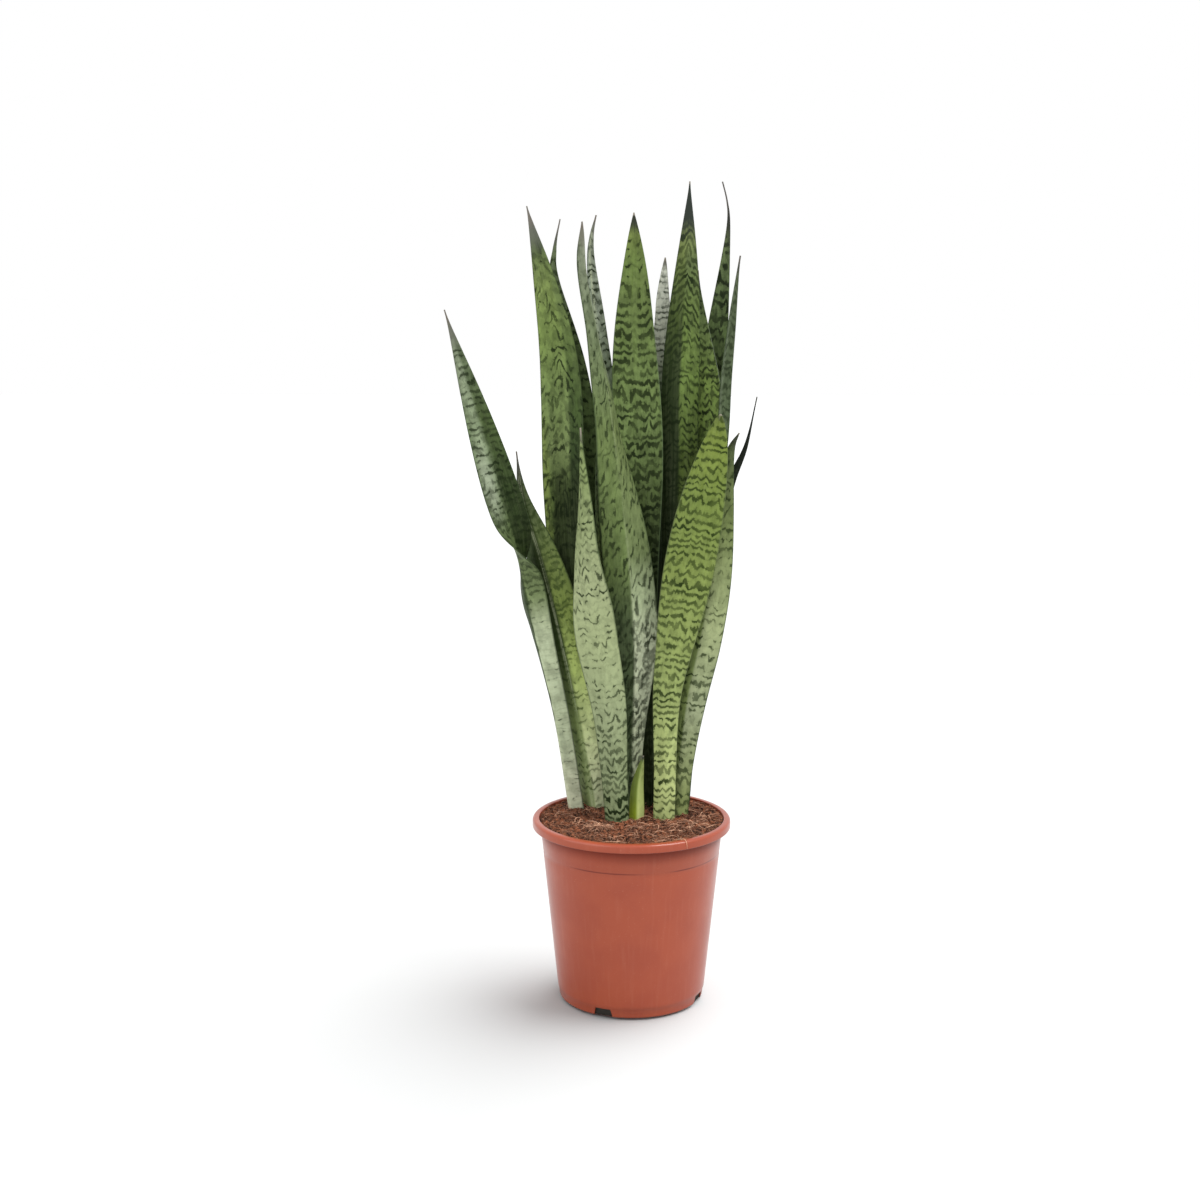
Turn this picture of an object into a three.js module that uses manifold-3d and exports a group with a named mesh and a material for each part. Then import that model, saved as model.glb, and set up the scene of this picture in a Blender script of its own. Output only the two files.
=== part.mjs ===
// A potted snake plant: sixteen upright leaves and a young shoot, rooted in a filled plant pot.
// Millimetres, +Z up. The origin is the centre of the pot's underside, and the front faces -Y.

import * as THREE from 'three';
import { mergeVertices } from 'three/addons/utils/BufferGeometryUtils.js';
import Module from 'manifold-3d';

// ---------------------------------------------------------------- driving dimensions

// Pot: a moulded pot of 21 cm across the rim.
const POT_HEIGHT = 200;
const RIM_RADIUS = 106.4;
const LIP_HEIGHT = 9.5;
const LIP_WALL = 3;
const LIP_TOP = 3.4;
const LIP_TAPER = 0.6;
const LIP_ROUND = 3.3;
const COLLAR_RADIUS = 99.2;
const COLLAR_HEIGHT = 194.5;
const BASE_RADIUS = 78.4;
const NECK_RADIUS = 97.8;
const WALL = 2.2;
const FLOOR = 2.5;
const SHOULDER_HEIGHT = 165;
const SHOULDER_STEP = 0.7;
const FOOT_BAND_HEIGHT = 12;
const FOOT_BAND_STEP = 0.5;
const EDGE_ROUND = 1.2;
const POT_SIDES = 72;
const POT_COLOR = 0xaa583e;
const POT_ROUGHNESS = 0.55;

// Drain notches in the foot of the pot.
const NOTCHES = 4;
const FIRST_NOTCH_ANGLE = -112;
const NOTCH_WIDTH = 23;
const NOTCH_TOP_WIDTH = 17;
const NOTCH_BOTTOM = -1;
const NOTCH_HEIGHT = 11.3;
const NOTCH_INNER_RADIUS = 69.5;
const NOTCH_OUTER_RADIUS = 84;

// Soil: fills the pot to just below the rim and is a little lower in the middle.
const SOIL_GAP = 0.5;
const SOIL_EDGE_HEIGHT = 197.6;
const SOIL_HOLLOW = 1.6;
const HOLLOW_SPREAD = 70;
const SOIL_UNEVEN = 0.8;
const SOIL_WAVE = 45;
const SOIL_SIDES = 48;
const SOIL_RINGS = 7;
const HOLE_CLEARANCE = 0.8;
const HOLE_REACH = 44;
const SOIL_COLOR = 0x5a3a2c;
const SOIL_ROUGHNESS = 0.95;

// Leaves: thick at the root, thin at the margins.
const ROOT_END_HEIGHT = 168;
const ROOT_THICKNESS = 5.2;
const TIP_THICKNESS = 1.6;
const MARGIN_THICKNESS = 1.0;
const POINT_WIDTH = 1.4;
const CREASE_SOFTNESS = 0.35;
const LEAF_BANDS = 24;
const LEAF_COLUMNS = 4;
const TIP_CROWDING = 1.35;
const LEAF_ROUGHNESS = 0.5;

// One entry for each leaf.
// root: where its root end is sunk in the soil. path: the points that its midrib runs through
// from there to the tip.
// foot and width: how wide it is at the root and at its widest.
// widest: where it is widest, as a share of its length. rise: how late it widens.
// sharp: how slender the tip is. faces: the compass direction that its hollow face looks in,
// at even steps from root to tip (0 the front, 90 the right, 180 the back).
// fold: how deep its channel is for its half width, at even steps from root to tip.
const LEAVES = [
  {
    name: 'leaf_far_left',
    root: [-61.2, 34],
    path: [[-67.2, 33, 210], [-81.2, 29, 300], [-100.2, 25, 385], [-118.2, 21, 465],
      [-137.2, 17, 540], [-158.2, 12, 614], [-180.2, 6, 690], [-194.2, 0, 738]],
    foot: 21, width: 41, widest: 0.6, rise: 1.9, sharp: 1.28,
    faces: [148, 147, 146, 145, 144, 144, 145, 146, 148, 150, 131, 78, 34, 19, 14, 13, 12,
      12, 11, 10, 10],
    fold: [0.8, 0.8, 0.75, 0.6, 0.3, 0.3, 0.3],
    color: 0x6f8a52,
  },
  {
    name: 'leaf_left',
    root: [-38.2, 41],
    path: [[-44.2, 40, 215], [-59.2, 40, 300], [-77.2, 39, 387], [-98.5, 38, 474],
      [-117.2, 36, 538], [-123.2, 31, 590]],
    foot: 26, width: 51, widest: 0.54, rise: 1, sharp: 1.6,
    faces: [165, 165, 165, 160], fold: [0.6, 0.5, 0.5, 0.4],
    color: 0x8ba35a,
  },
  {
    name: 'leaf_front_left',
    root: [-13.2, -12],
    path: [[-17.2, -13, 240], [-24.2, -14, 325], [-42.2, -15, 420], [-51.2, -11, 480],
      [-52.2, -6, 542], [-54.2, 0, 617]],
    foot: 26, width: 46, widest: 0.55, rise: 1.2, sharp: 1.3,
    faces: [185, 185, 183, 180, 138, 125, 125], fold: [0.6, 0.5, 0.35, 0.3, 0.3, 0.3],
    color: 0xa9b487,
  },
  {
    name: 'leaf_tall_left',
    root: [-31.2, 61],
    path: [[-43.2, 60, 250], [-65.2, 57, 420], [-73.2, 56, 540], [-75.2, 56, 640],
      [-81.2, 57, 705], [-95.2, 59, 775], [-112.2, 60, 846]],
    foot: 24, width: 46, widest: 0.66, rise: 0.9, sharp: 1.15,
    faces: [0, 0, 0, 5], fold: [0.6, 0.45, 0.4, 0.3],
    color: 0x738750,
  },
  {
    name: 'leaf_back_left',
    root: [-23.2, 76],
    path: [[-28.2, 78, 260], [-41.2, 80, 430], [-53.2, 81, 580], [-65.2, 82, 680],
      [-84.2, 84, 768], [-84.2, 85, 802], [-78.2, 87, 834]],
    foot: 21, width: 37, widest: 0.6, rise: 1, sharp: 1.5,
    faces: [5, 10, 10, 10], fold: [0.6, 0.45, 0.4, 0.4],
    color: 0x5d6f43,
  },
  {
    name: 'leaf_slim_left',
    root: [-15.2, 47],
    path: [[-16.2, 49, 260], [-21.2, 53, 370], [-31.2, 56, 470], [-34.2, 58, 560], [-31.2, 60, 640],
      [-38.2, 61, 715], [-45.2, 63, 785], [-44.2, 65, 815], [-39.2, 66, 837]],
    foot: 21, width: 29, widest: 0.58, rise: 1, sharp: 1,
    faces: [30, 40, 48, 20], fold: [0.6, 0.45, 0.4, 0.5],
    color: 0x8a9a76,
  },
  {
    name: 'leaf_winding',
    root: [0.8, 22],
    path: [[0.8, 20, 260], [2.8, 16, 370], [-0.2, 14, 430], [-6.2, 14, 500], [-16.2, 17, 580],
      [-26.2, 24, 650], [-38.2, 32, 715], [-51.2, 38, 785], [-53.2, 41, 829]],
    foot: 20, width: 55, widest: 0.38, rise: 1.5, sharp: 0.85,
    faces: [185, 185, 185, 183, 180, 187, 199, 219, 236, 241, 252, 239, 200],
    fold: [0.6, 0.5, 0.3, 0.3, 0.3, 0.4, 0.6],
    color: 0x9aab78,
  },
  {
    name: 'leaf_tall_centre',
    root: [10.8, 48],
    path: [[9.8, 49, 300], [5.8, 50, 470], [5.8, 50, 590], [1.8, 51, 700],
      [1.8, 53, 780], [0.8, 56, 839]],
    foot: 25, width: 55, widest: 0.64, rise: 1.2, sharp: 0.88,
    faces: [0, 0, 0, 0], fold: [0.55, 0.2, 0.14, 0.2],
    color: 0x74905a,
  },
  {
    name: 'leaf_back_centre',
    root: [4.8, 80],
    path: [[10.8, 84, 300], [23.8, 89, 500], [32.8, 91, 700], [32.8, 93, 752],
      [34.8, 95, 794]],
    foot: 21, width: 34, widest: 0.6, rise: 1, sharp: 0.75,
    faces: [0, -5, -10, -10], fold: [0.6, 0.4, 0.3, 0.3],
    color: 0xa3ad94,
  },
  {
    name: 'leaf_tallest',
    root: [27.8, 53],
    path: [[35.8, 55, 290], [48.8, 59, 450], [51.8, 61, 560], [51.8, 62, 643],
      [54.8, 65, 715], [57.8, 68, 785], [59.8, 71, 872]],
    foot: 22, width: 42, widest: 0.68, rise: 1, sharp: 1.15,
    faces: [185, 185, 190, 190], fold: [0.55, 0.35, 0.3, 0.2],
    color: 0x64794a,
  },
  {
    name: 'leaf_right_narrow',
    root: [45.8, 67],
    path: [[52.8, 72, 280], [66.8, 78, 450], [78.8, 81, 580], [81.8, 81, 645],
      [75.8, 82, 706], [71.8, 83, 749], [69.8, 84, 780]],
    foot: 20, width: 30, widest: 0.74, rise: 1.2, sharp: 1.5,
    faces: [0, 0, 0, 0], fold: [0.6, 0.4, 0.3, 0.3],
    color: 0x596d46,
  },
  {
    name: 'leaf_back_right',
    root: [27.8, 76],
    path: [[38.8, 81, 280], [61.8, 88, 450], [80.8, 92, 600], [91.8, 95, 710],
      [99.8, 98, 790], [102.8, 100, 832], [100.8, 101, 854], [95.8, 102, 874]],
    foot: 20, width: 30, widest: 0.66, rise: 1, sharp: 2,
    faces: [0, 0, -10, -15], fold: [0.6, 0.4, 0.4, 0.3],
    color: 0x53633f,
  },
  {
    name: 'leaf_right_slender',
    root: [53.8, 51],
    path: [[59.8, 52, 250], [79.8, 55, 430], [91.8, 58, 590], [95.8, 61, 665],
      [103.8, 65, 730], [109.8, 69, 770], [113.8, 71, 795]],
    foot: 19, width: 25, widest: 0.72, rise: 1, sharp: 1.3,
    faces: [60, 60, 60, 50], fold: [0.5, 0.4, 0.4, 0.5],
    color: 0x7b8c6c,
  },
  {
    name: 'leaf_front_right',
    root: [34.8, -5],
    path: [[35.8, -6, 241], [36.8, -8, 325], [43.8, -9, 380], [56.8, -9, 455],
      [69.8, -7, 525], [84.8, 1, 595], [91.8, 5, 631]],
    foot: 24, width: 55, widest: 0.66, rise: 1.85, sharp: 0.68,
    faces: [180, 178, 175, 172], fold: [0.6, 0.5, 0.22, 0.2],
    color: 0x9cb05e,
  },
  {
    name: 'leaf_right',
    root: [47.3, 11],
    path: [[50.8, 11, 250], [59.8, 10, 325], [72.8, 10, 391], [83.8, 11, 455],
      [91.8, 12, 525], [97.8, 13, 570], [103.8, 14, 596], [111.8, 15, 611]],
    foot: 25, width: 45, widest: 0.52, rise: 1.1, sharp: 0.95,
    faces: [172, 170, 170, 165], fold: [0.6, 0.5, 0.35, 0.3],
    color: 0xa8b77a,
  },
  {
    name: 'leaf_far_right',
    root: [45.8, 34],
    path: [[50.8, 35, 270], [63.8, 35, 380], [80.8, 34, 480], [102.8, 31, 554],
      [119.8, 30, 596], [130.8, 28, 648]],
    foot: 19, width: 26, widest: 0.5, rise: 1, sharp: 1.9,
    faces: [175, 175, 175, 175], fold: [0.5, 0.4, 0.4, 0.3],
    color: 0x515b40,
  },
  {
    name: 'young_shoot',
    root: [5.8, 0],
    path: [[5.8, 0, 200], [6.8, 1, 232], [12.8, 3, 266]],
    foot: 16, width: 16.5, widest: 0.35, rise: 1, sharp: 0.9,
    faces: [180, 180, 185], fold: [0.7, 0.8, 0.9],
    color: 0xb5c34a,
  },
];

// ---------------------------------------------------------------- solids

const WELD_DISTANCE = 1e-4;

const wasm = await Module();
wasm.setup();

/** A closed surface as a solid that can be joined and cut. */
function toSolid(geometry) {
  const bare = geometry.clone();
  bare.deleteAttribute('normal');
  bare.deleteAttribute('uv');
  const merged = mergeVertices(bare, WELD_DISTANCE);
  const vertProperties = new Float32Array(merged.attributes.position.array);
  const triVerts = new Uint32Array(merged.index.array);
  return new wasm.Manifold(new wasm.Mesh({ numProp: 3, vertProperties, triVerts }));
}

/** The surface of a solid. */
function toGeometry(solid) {
  const mesh = solid.getMesh();
  return closedGeometry(Array.from(mesh.vertProperties), Array.from(mesh.triVerts));
}

/** A geometry from flat lists of coordinates and triangle corners. */
function closedGeometry(positions, triangles) {
  const geometry = new THREE.BufferGeometry();
  geometry.setAttribute('position', new THREE.Float32BufferAttribute(positions, 3));
  geometry.setIndex(triangles);
  geometry.computeVertexNormals();
  return geometry;
}

/** A piece of the plant or pot, as a named mesh with its own finish. */
function piece(name, geometry, color, roughness) {
  const material = new THREE.MeshStandardMaterial({ color, roughness, metalness: 0 });
  const mesh = new THREE.Mesh(geometry, material);
  mesh.name = name;
  return mesh;
}

// ---------------------------------------------------------------- pot

/** Outer radius of the tapered wall at a height, without its moulded steps. */
function wallRadius(z) {
  return THREE.MathUtils.mapLinear(z, 0, POT_HEIGHT - LIP_HEIGHT, BASE_RADIUS, NECK_RADIUS);
}

/** Half section of the pot, from the middle of its underside round to the middle of its floor. */
function potProfile() {
  const lipBottom = POT_HEIGHT - LIP_HEIGHT;
  const lipUnderside = POT_HEIGHT - LIP_TOP;
  const grooveRadius = RIM_RADIUS - LIP_WALL;
  const arcInset = LIP_ROUND * (1 - Math.SQRT1_2);
  const profile = [
    [0, 0],
    [BASE_RADIUS - FOOT_BAND_STEP - EDGE_ROUND, 0],
    [BASE_RADIUS - FOOT_BAND_STEP, EDGE_ROUND],
    [wallRadius(FOOT_BAND_HEIGHT) - FOOT_BAND_STEP, FOOT_BAND_HEIGHT],
    [wallRadius(FOOT_BAND_HEIGHT), FOOT_BAND_HEIGHT + EDGE_ROUND],
    [wallRadius(SHOULDER_HEIGHT) - SHOULDER_STEP, SHOULDER_HEIGHT],
    [wallRadius(SHOULDER_HEIGHT), SHOULDER_HEIGHT + EDGE_ROUND],
    [NECK_RADIUS, lipBottom],
    [COLLAR_RADIUS + WALL, COLLAR_HEIGHT],
    [COLLAR_RADIUS + WALL, lipUnderside],
    [grooveRadius, lipUnderside],
    [grooveRadius - LIP_TAPER, lipBottom],
    [RIM_RADIUS - EDGE_ROUND, lipBottom],
    [RIM_RADIUS, lipBottom + EDGE_ROUND],
    [RIM_RADIUS, POT_HEIGHT - LIP_ROUND],
    [RIM_RADIUS - arcInset, POT_HEIGHT - arcInset],
    [RIM_RADIUS - LIP_ROUND, POT_HEIGHT],
    [COLLAR_RADIUS + EDGE_ROUND, POT_HEIGHT],
    [COLLAR_RADIUS, POT_HEIGHT - EDGE_ROUND],
    [COLLAR_RADIUS, COLLAR_HEIGHT],
    [NECK_RADIUS - WALL, lipBottom],
    [wallRadius(FLOOR) - WALL, FLOOR],
    [0, FLOOR],
  ];
  return profile.map(([radius, z]) => new THREE.Vector2(radius, z));
}

/** One drain notch: a wedge standing across the wall at the foot of the pot. */
function notchSolid(angle) {
  const outline = new THREE.Shape();
  outline.moveTo(-NOTCH_WIDTH / 2, NOTCH_BOTTOM);
  outline.lineTo(NOTCH_WIDTH / 2, NOTCH_BOTTOM);
  outline.lineTo(NOTCH_TOP_WIDTH / 2, NOTCH_HEIGHT);
  outline.lineTo(-NOTCH_TOP_WIDTH / 2, NOTCH_HEIGHT);
  const depth = NOTCH_OUTER_RADIUS - NOTCH_INNER_RADIUS;
  const wedge = new THREE.ExtrudeGeometry(outline, { depth, bevelEnabled: false });
  wedge.translate(0, 0, NOTCH_INNER_RADIUS);
  wedge.applyMatrix4(new THREE.Matrix4().makeBasis(
    new THREE.Vector3(0, 1, 0), new THREE.Vector3(0, 0, 1), new THREE.Vector3(1, 0, 0)));
  wedge.rotateZ(THREE.MathUtils.degToRad(angle));
  return toSolid(wedge);
}

/** The pot: a thin tapered shell with a wider collar, a hanging lip and drain notches. */
function makePot() {
  const shell = new THREE.LatheGeometry(potProfile(), POT_SIDES);
  shell.rotateX(Math.PI / 2);
  let pot = toSolid(shell);
  for (let i = 0; i < NOTCHES; i += 1) {
    pot = pot.subtract(notchSolid(FIRST_NOTCH_ANGLE + (360 / NOTCHES) * i));
  }
  return piece('pot', toGeometry(pot), POT_COLOR, POT_ROUGHNESS);
}

// ---------------------------------------------------------------- leaves

/** A value at a share of the way along evenly spaced values, on a smooth curve through them. */
function along(values, share) {
  const last = values.length - 1;
  const k = Math.min(Math.floor(share * last), last - 1);
  const s = share * last - k;
  const a = values[Math.max(k - 1, 0)];
  const b = values[k];
  const c = values[k + 1];
  const d = values[Math.min(k + 2, last)];
  return b + 0.5 * s * (c - a + s * (2 * a - 5 * b + 4 * c - d + s * (3 * (b - c) + d - a)));
}

/** Width of a leaf: it widens from the foot as a sine squared, then narrows to its point. */
function leafWidth(leaf, share) {
  if (share < leaf.widest) {
    const widening = Math.sin((Math.PI / 2) * (share / leaf.widest) ** leaf.rise) ** 2;
    return leaf.foot + (leaf.width - leaf.foot) * widening;
  }
  const toTip = (share - leaf.widest) / (1 - leaf.widest);
  return Math.hypot(leaf.width * (1 - toTip ** 2) ** leaf.sharp, POINT_WIDTH);
}

/** How far the channel of a leaf rises towards its margins, from 0 at the midrib to 1. */
function channel(across) {
  const atMargin = Math.hypot(1, CREASE_SOFTNESS) - CREASE_SOFTNESS;
  return (Math.hypot(across, CREASE_SOFTNESS) - CREASE_SOFTNESS) / atMargin;
}

/** The curve of a leaf's midrib. A hole's starts lower by its clearance. */
function midrib(leaf, clearance = 0) {
  const rootEnd = [...leaf.root, ROOT_END_HEIGHT - clearance];
  const points = [rootEnd, ...leaf.path].map((point) => new THREE.Vector3(...point));
  return new THREE.CatmullRomCurve3(points, false, 'catmullrom', 0.5);
}

/** Shares of the length at which a leaf's sections stand, closer together near the tip. */
function leafShares() {
  const shares = [];
  for (let i = 0; i <= LEAF_BANDS; i += 1) {
    shares.push(1 - (1 - i / LEAF_BANDS) ** TIP_CROWDING);
  }
  return shares;
}

/**
 * One section of a leaf: the points of its hollow face, then those of its back, both from
 * margin to margin. grow thickens and widens the section for a hole that clears the leaf.
 */
function leafSection(leaf, curve, share, grow) {
  const centre = curve.getPointAt(share);
  const up = curve.getTangentAt(share);
  const heading = THREE.MathUtils.degToRad(along(leaf.faces, share));
  const side = new THREE.Vector3(Math.cos(heading), Math.sin(heading), 0);
  side.addScaledVector(up, -side.dot(up)).normalize();
  const outOfFace = new THREE.Vector3().crossVectors(side, up);
  const halfWidth = leafWidth(leaf, share) / 2 + grow;
  const middle = TIP_THICKNESS + (ROOT_THICKNESS - TIP_THICKNESS) * (1 - share) ** 2;
  const depth = along(leaf.fold, share) * halfWidth;
  const face = [];
  const back = [];
  for (let i = 0; i <= LEAF_COLUMNS; i += 1) {
    const across = (2 * i) / LEAF_COLUMNS - 1;
    const bulge = (middle - MARGIN_THICKNESS) * (1 - across ** 2);
    const halfThickness = (MARGIN_THICKNESS + bulge) / 2 + grow;
    const point = centre.clone();
    point.addScaledVector(side, across * halfWidth);
    point.addScaledVector(outOfFace, depth * channel(across));
    face.push(point.clone().addScaledVector(outOfFace, halfThickness));
    back.push(point.clone().addScaledVector(outOfFace, -halfThickness));
  }
  return [...face, ...back];
}

/** A leaf's closed surface through sections at the given shares of its length. */
function leafGeometry(leaf, shares, grow = 0) {
  const curve = midrib(leaf, grow);
  const sections = shares.map((share) => leafSection(leaf, curve, share, grow));
  const across = LEAF_COLUMNS + 1;
  const size = 2 * across;
  const face = (row, i) => row * size + i;
  const back = (row, i) => row * size + across + i;
  const triangles = [];
  const quad = (a, b, c, d) => triangles.push(a, b, c, a, c, d);
  for (let row = 0; row + 1 < sections.length; row += 1) {
    for (let i = 0; i < LEAF_COLUMNS; i += 1) {
      quad(face(row, i), face(row, i + 1), face(row + 1, i + 1), face(row + 1, i));
      triangles.push(back(row, i), back(row + 1, i + 1), back(row, i + 1));
      triangles.push(back(row, i), back(row + 1, i), back(row + 1, i + 1));
    }
    quad(face(row + 1, 0), back(row + 1, 0), back(row, 0), face(row, 0));
    quad(face(row, LEAF_COLUMNS), back(row, LEAF_COLUMNS),
      back(row + 1, LEAF_COLUMNS), face(row + 1, LEAF_COLUMNS));
  }
  const top = sections.length - 1;
  for (let i = 0; i < LEAF_COLUMNS; i += 1) {
    quad(face(0, i), back(0, i), back(0, i + 1), face(0, i + 1));
    quad(face(top, i), face(top, i + 1), back(top, i + 1), back(top, i));
  }
  return closedGeometry(sections.flat().flatMap((point) => point.toArray()), triangles);
}

/** The hole that a leaf stands in, from just below its root end to above the soil. */
function rootHole(leaf) {
  const topShare = HOLE_REACH / midrib(leaf).getLength();
  const shares = leafShares();
  const sunk = shares.slice(0, shares.findIndex((share) => share >= topShare) + 1);
  return toSolid(leafGeometry(leaf, sunk, HOLE_CLEARANCE));
}

// ---------------------------------------------------------------- soil

/** Height of the soil: highest at the wall, lower in the middle, a little uneven all over. */
function soilHeight(x, y) {
  const away = Math.hypot(x, y) / HOLLOW_SPREAD;
  const turn = (2 * Math.PI) / SOIL_WAVE;
  const uneven = SOIL_UNEVEN * Math.sin(turn * x + 1) * Math.cos(turn * y);
  return SOIL_EDGE_HEIGHT - SOIL_HOLLOW * Math.exp(-(away ** 2)) + uneven;
}

/** The soil and roots as one block that fills the pot, before the leaves' holes are cut. */
function soilBlock() {
  const bottom = FLOOR + SOIL_GAP;
  const topRadius = COLLAR_RADIUS - SOIL_GAP;
  const side = [
    [topRadius, COLLAR_HEIGHT],
    [NECK_RADIUS - WALL - SOIL_GAP, POT_HEIGHT - LIP_HEIGHT],
    [wallRadius(bottom) - WALL - SOIL_GAP, bottom],
  ];
  const positions = [0, 0, soilHeight(0, 0)];
  for (let ring = 1; ring <= SOIL_RINGS; ring += 1) {
    for (let i = 0; i < SOIL_SIDES; i += 1) {
      const angle = (2 * Math.PI * i) / SOIL_SIDES;
      const radius = (topRadius * ring) / SOIL_RINGS;
      const x = radius * Math.cos(angle);
      const y = radius * Math.sin(angle);
      positions.push(x, y, soilHeight(x, y));
    }
  }
  for (const [radius, height] of side) {
    for (let i = 0; i < SOIL_SIDES; i += 1) {
      const angle = (2 * Math.PI * i) / SOIL_SIDES;
      positions.push(radius * Math.cos(angle), radius * Math.sin(angle), height);
    }
  }
  positions.push(0, 0, bottom);
  const at = (ring, i) => 1 + (ring - 1) * SOIL_SIDES + (i % SOIL_SIDES);
  const lowest = SOIL_RINGS + side.length;
  const bottomCentre = positions.length / 3 - 1;
  const triangles = [];
  for (let i = 0; i < SOIL_SIDES; i += 1) {
    triangles.push(0, at(1, i), at(1, i + 1));
    for (let ring = 1; ring < lowest; ring += 1) {
      triangles.push(at(ring, i), at(ring + 1, i), at(ring + 1, i + 1));
      triangles.push(at(ring, i), at(ring + 1, i + 1), at(ring, i + 1));
    }
    triangles.push(bottomCentre, at(lowest, i + 1), at(lowest, i));
  }
  return toSolid(closedGeometry(positions, triangles));
}

/** The soil with a plain hole for each leaf. */
function makeSoil() {
  let soil = soilBlock();
  for (const leaf of LEAVES) {
    soil = soil.subtract(rootHole(leaf));
  }
  return piece('soil', toGeometry(soil), SOIL_COLOR, SOIL_ROUGHNESS);
}

// ---------------------------------------------------------------- the whole plant

const group = new THREE.Group();
group.add(makePot());
group.add(makeSoil());
for (const leaf of LEAVES) {
  group.add(piece(leaf.name, leafGeometry(leaf, leafShares()), leaf.color, LEAF_ROUGHNESS));
}

export default group;
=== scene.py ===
"""A potted snake plant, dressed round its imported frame.

The pot, the soil and every leaf of the frame give way to finer meshes of the same shape, worked
out on parametric grids in numpy. Lengths in the tables are millimetres, meshes are in metres,
+Z is up and the front looks towards -Y.
"""

import itertools
import logging
import math
from dataclasses import dataclass
from enum import Enum
from typing import NamedTuple

import bpy
import numpy as np
from mathutils import Matrix, Vector

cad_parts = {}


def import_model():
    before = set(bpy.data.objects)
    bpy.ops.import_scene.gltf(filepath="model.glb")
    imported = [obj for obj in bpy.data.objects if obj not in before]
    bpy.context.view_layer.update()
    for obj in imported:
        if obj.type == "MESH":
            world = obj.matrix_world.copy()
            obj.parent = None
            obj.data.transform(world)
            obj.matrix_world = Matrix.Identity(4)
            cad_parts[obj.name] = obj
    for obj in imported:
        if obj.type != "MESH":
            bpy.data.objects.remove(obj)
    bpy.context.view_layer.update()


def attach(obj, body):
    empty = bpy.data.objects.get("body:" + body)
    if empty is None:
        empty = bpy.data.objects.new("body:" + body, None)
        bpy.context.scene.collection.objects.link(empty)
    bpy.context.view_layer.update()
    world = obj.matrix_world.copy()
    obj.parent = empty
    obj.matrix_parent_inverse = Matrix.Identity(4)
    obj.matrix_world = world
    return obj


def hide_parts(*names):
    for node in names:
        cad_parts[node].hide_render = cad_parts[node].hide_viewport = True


LOG = logging.getLogger("snake_plant")
MM = 0.001
BODY = "root"
BLADE_MAP = "blade"
PLACE_MAP = "place"
SHADE_MAP = "shade"
MAP_UNIT = 100.0  # millimetres of leaf in one unit of the blade map

Array = np.ndarray
Socket = bpy.types.NodeSocket
Sockets = bpy.types.bpy_prop_collection
Tree = bpy.types.NodeTree
Colour = tuple[float, float, float]
Span = tuple[float, float]
Stops = tuple[tuple[float, Colour], ...]
Levels = tuple[tuple[float, float], ...]


class Slot(Enum):
    """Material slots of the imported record."""

    POT = "pot"
    SOIL = "soil"
    GREEN = "leaf_green"
    DARK = "leaf_dark"
    PALE = "leaf_pale"
    LIME = "leaf_lime"
    SHOOT = "shoot"


# ------------------------------------------------------------------ numbers and shapes

HASH_STRIDES = (73856093, 19349663, 83492791)
HASH_SEED = 2654435761
HASH_MIXERS = (2246822519, 3266489917)
HASH_WORD = 0xFFFFFFFF
HASH_HALF = 0x7FFFFFFF
LAYER_SUM = 1.6  # about the largest sum of a few layers of noise


def linear(colour: Colour, depth: float = 1.0) -> tuple[float, float, float, float]:
    """Turns an 8-bit screen colour into the linear colour that a shader takes, by the sRGB curve.

    Args:
        colour: Red, green and blue, from 0 to 255.
        depth: Multiplies the linear colour.

    Returns:
        Linear red, green, blue and an alpha of 1.
    """
    share = np.asarray(colour, float) / 255
    low = share / 12.92
    high = ((share + 0.055) / 1.055) ** 2.4
    return (*(np.where(share <= 0.04045, low, high) * depth).tolist(), 1.0)


def lattice_noise(points: Array, seed: int) -> Array:
    """Smooth noise: random values at the corners of a unit lattice, blended between them.

    Args:
        points: Coordinates, with their axes last.
        seed: Picks another field of values.

    Returns:
        Noise from -1 to 1, one value for each point.
    """
    cell = np.floor(points).astype(np.int64)
    part = points - cell
    part = part * part * (3 - 2 * part)
    total = np.zeros(points.shape[:-1])
    strides = np.array(HASH_STRIDES)[: points.shape[-1]]
    for corner in itertools.product((0, 1), repeat=points.shape[-1]):
        at = np.array(corner)
        key = ((cell + at) * strides).sum(-1) + seed * HASH_SEED
        key = (key ^ (key >> 15)) * HASH_MIXERS[0] & HASH_WORD
        key = (key ^ (key >> 13)) * HASH_MIXERS[1] & HASH_WORD
        value = (key ^ (key >> 16)) / HASH_HALF - 1
        total += value * np.prod(np.where(at, part, 1 - part), axis=-1)
    return total


def layered_noise(points: Array, seed: int, layers: int) -> Array:
    """Adds layers of noise, each half as large and twice as fine as the last.

    Args:
        points: Coordinates, with their axes last.
        seed: Picks another field of values.
        layers: How many layers are added.

    Returns:
        Noise of about -1 to 1, one value for each point.
    """
    total = np.zeros(points.shape[:-1])
    for k in range(layers):
        total += lattice_noise(points * 2**k, seed + k) / 2**k
    return total / LAYER_SUM


def grid_faces(rows: int, columns: int, closed: bool) -> Array:
    """Lists the four corners of every cell of a grid of vertices.

    Args:
        rows: Rows of vertices.
        columns: Vertices in a row.
        closed: True if a row's last vertex joins its first.

    Returns:
        One row of four vertex numbers for each cell.
    """
    row = np.arange(rows - 1)[:, None]
    column = np.arange(columns if closed else columns - 1)[None, :]
    beside = (column + 1) % columns
    corners = [row * columns + column, row * columns + beside]
    corners += [(row + 1) * columns + beside, (row + 1) * columns + column]
    return np.stack([c + 0 * (row + column) for c in corners], -1).reshape(-1, 4)


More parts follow.
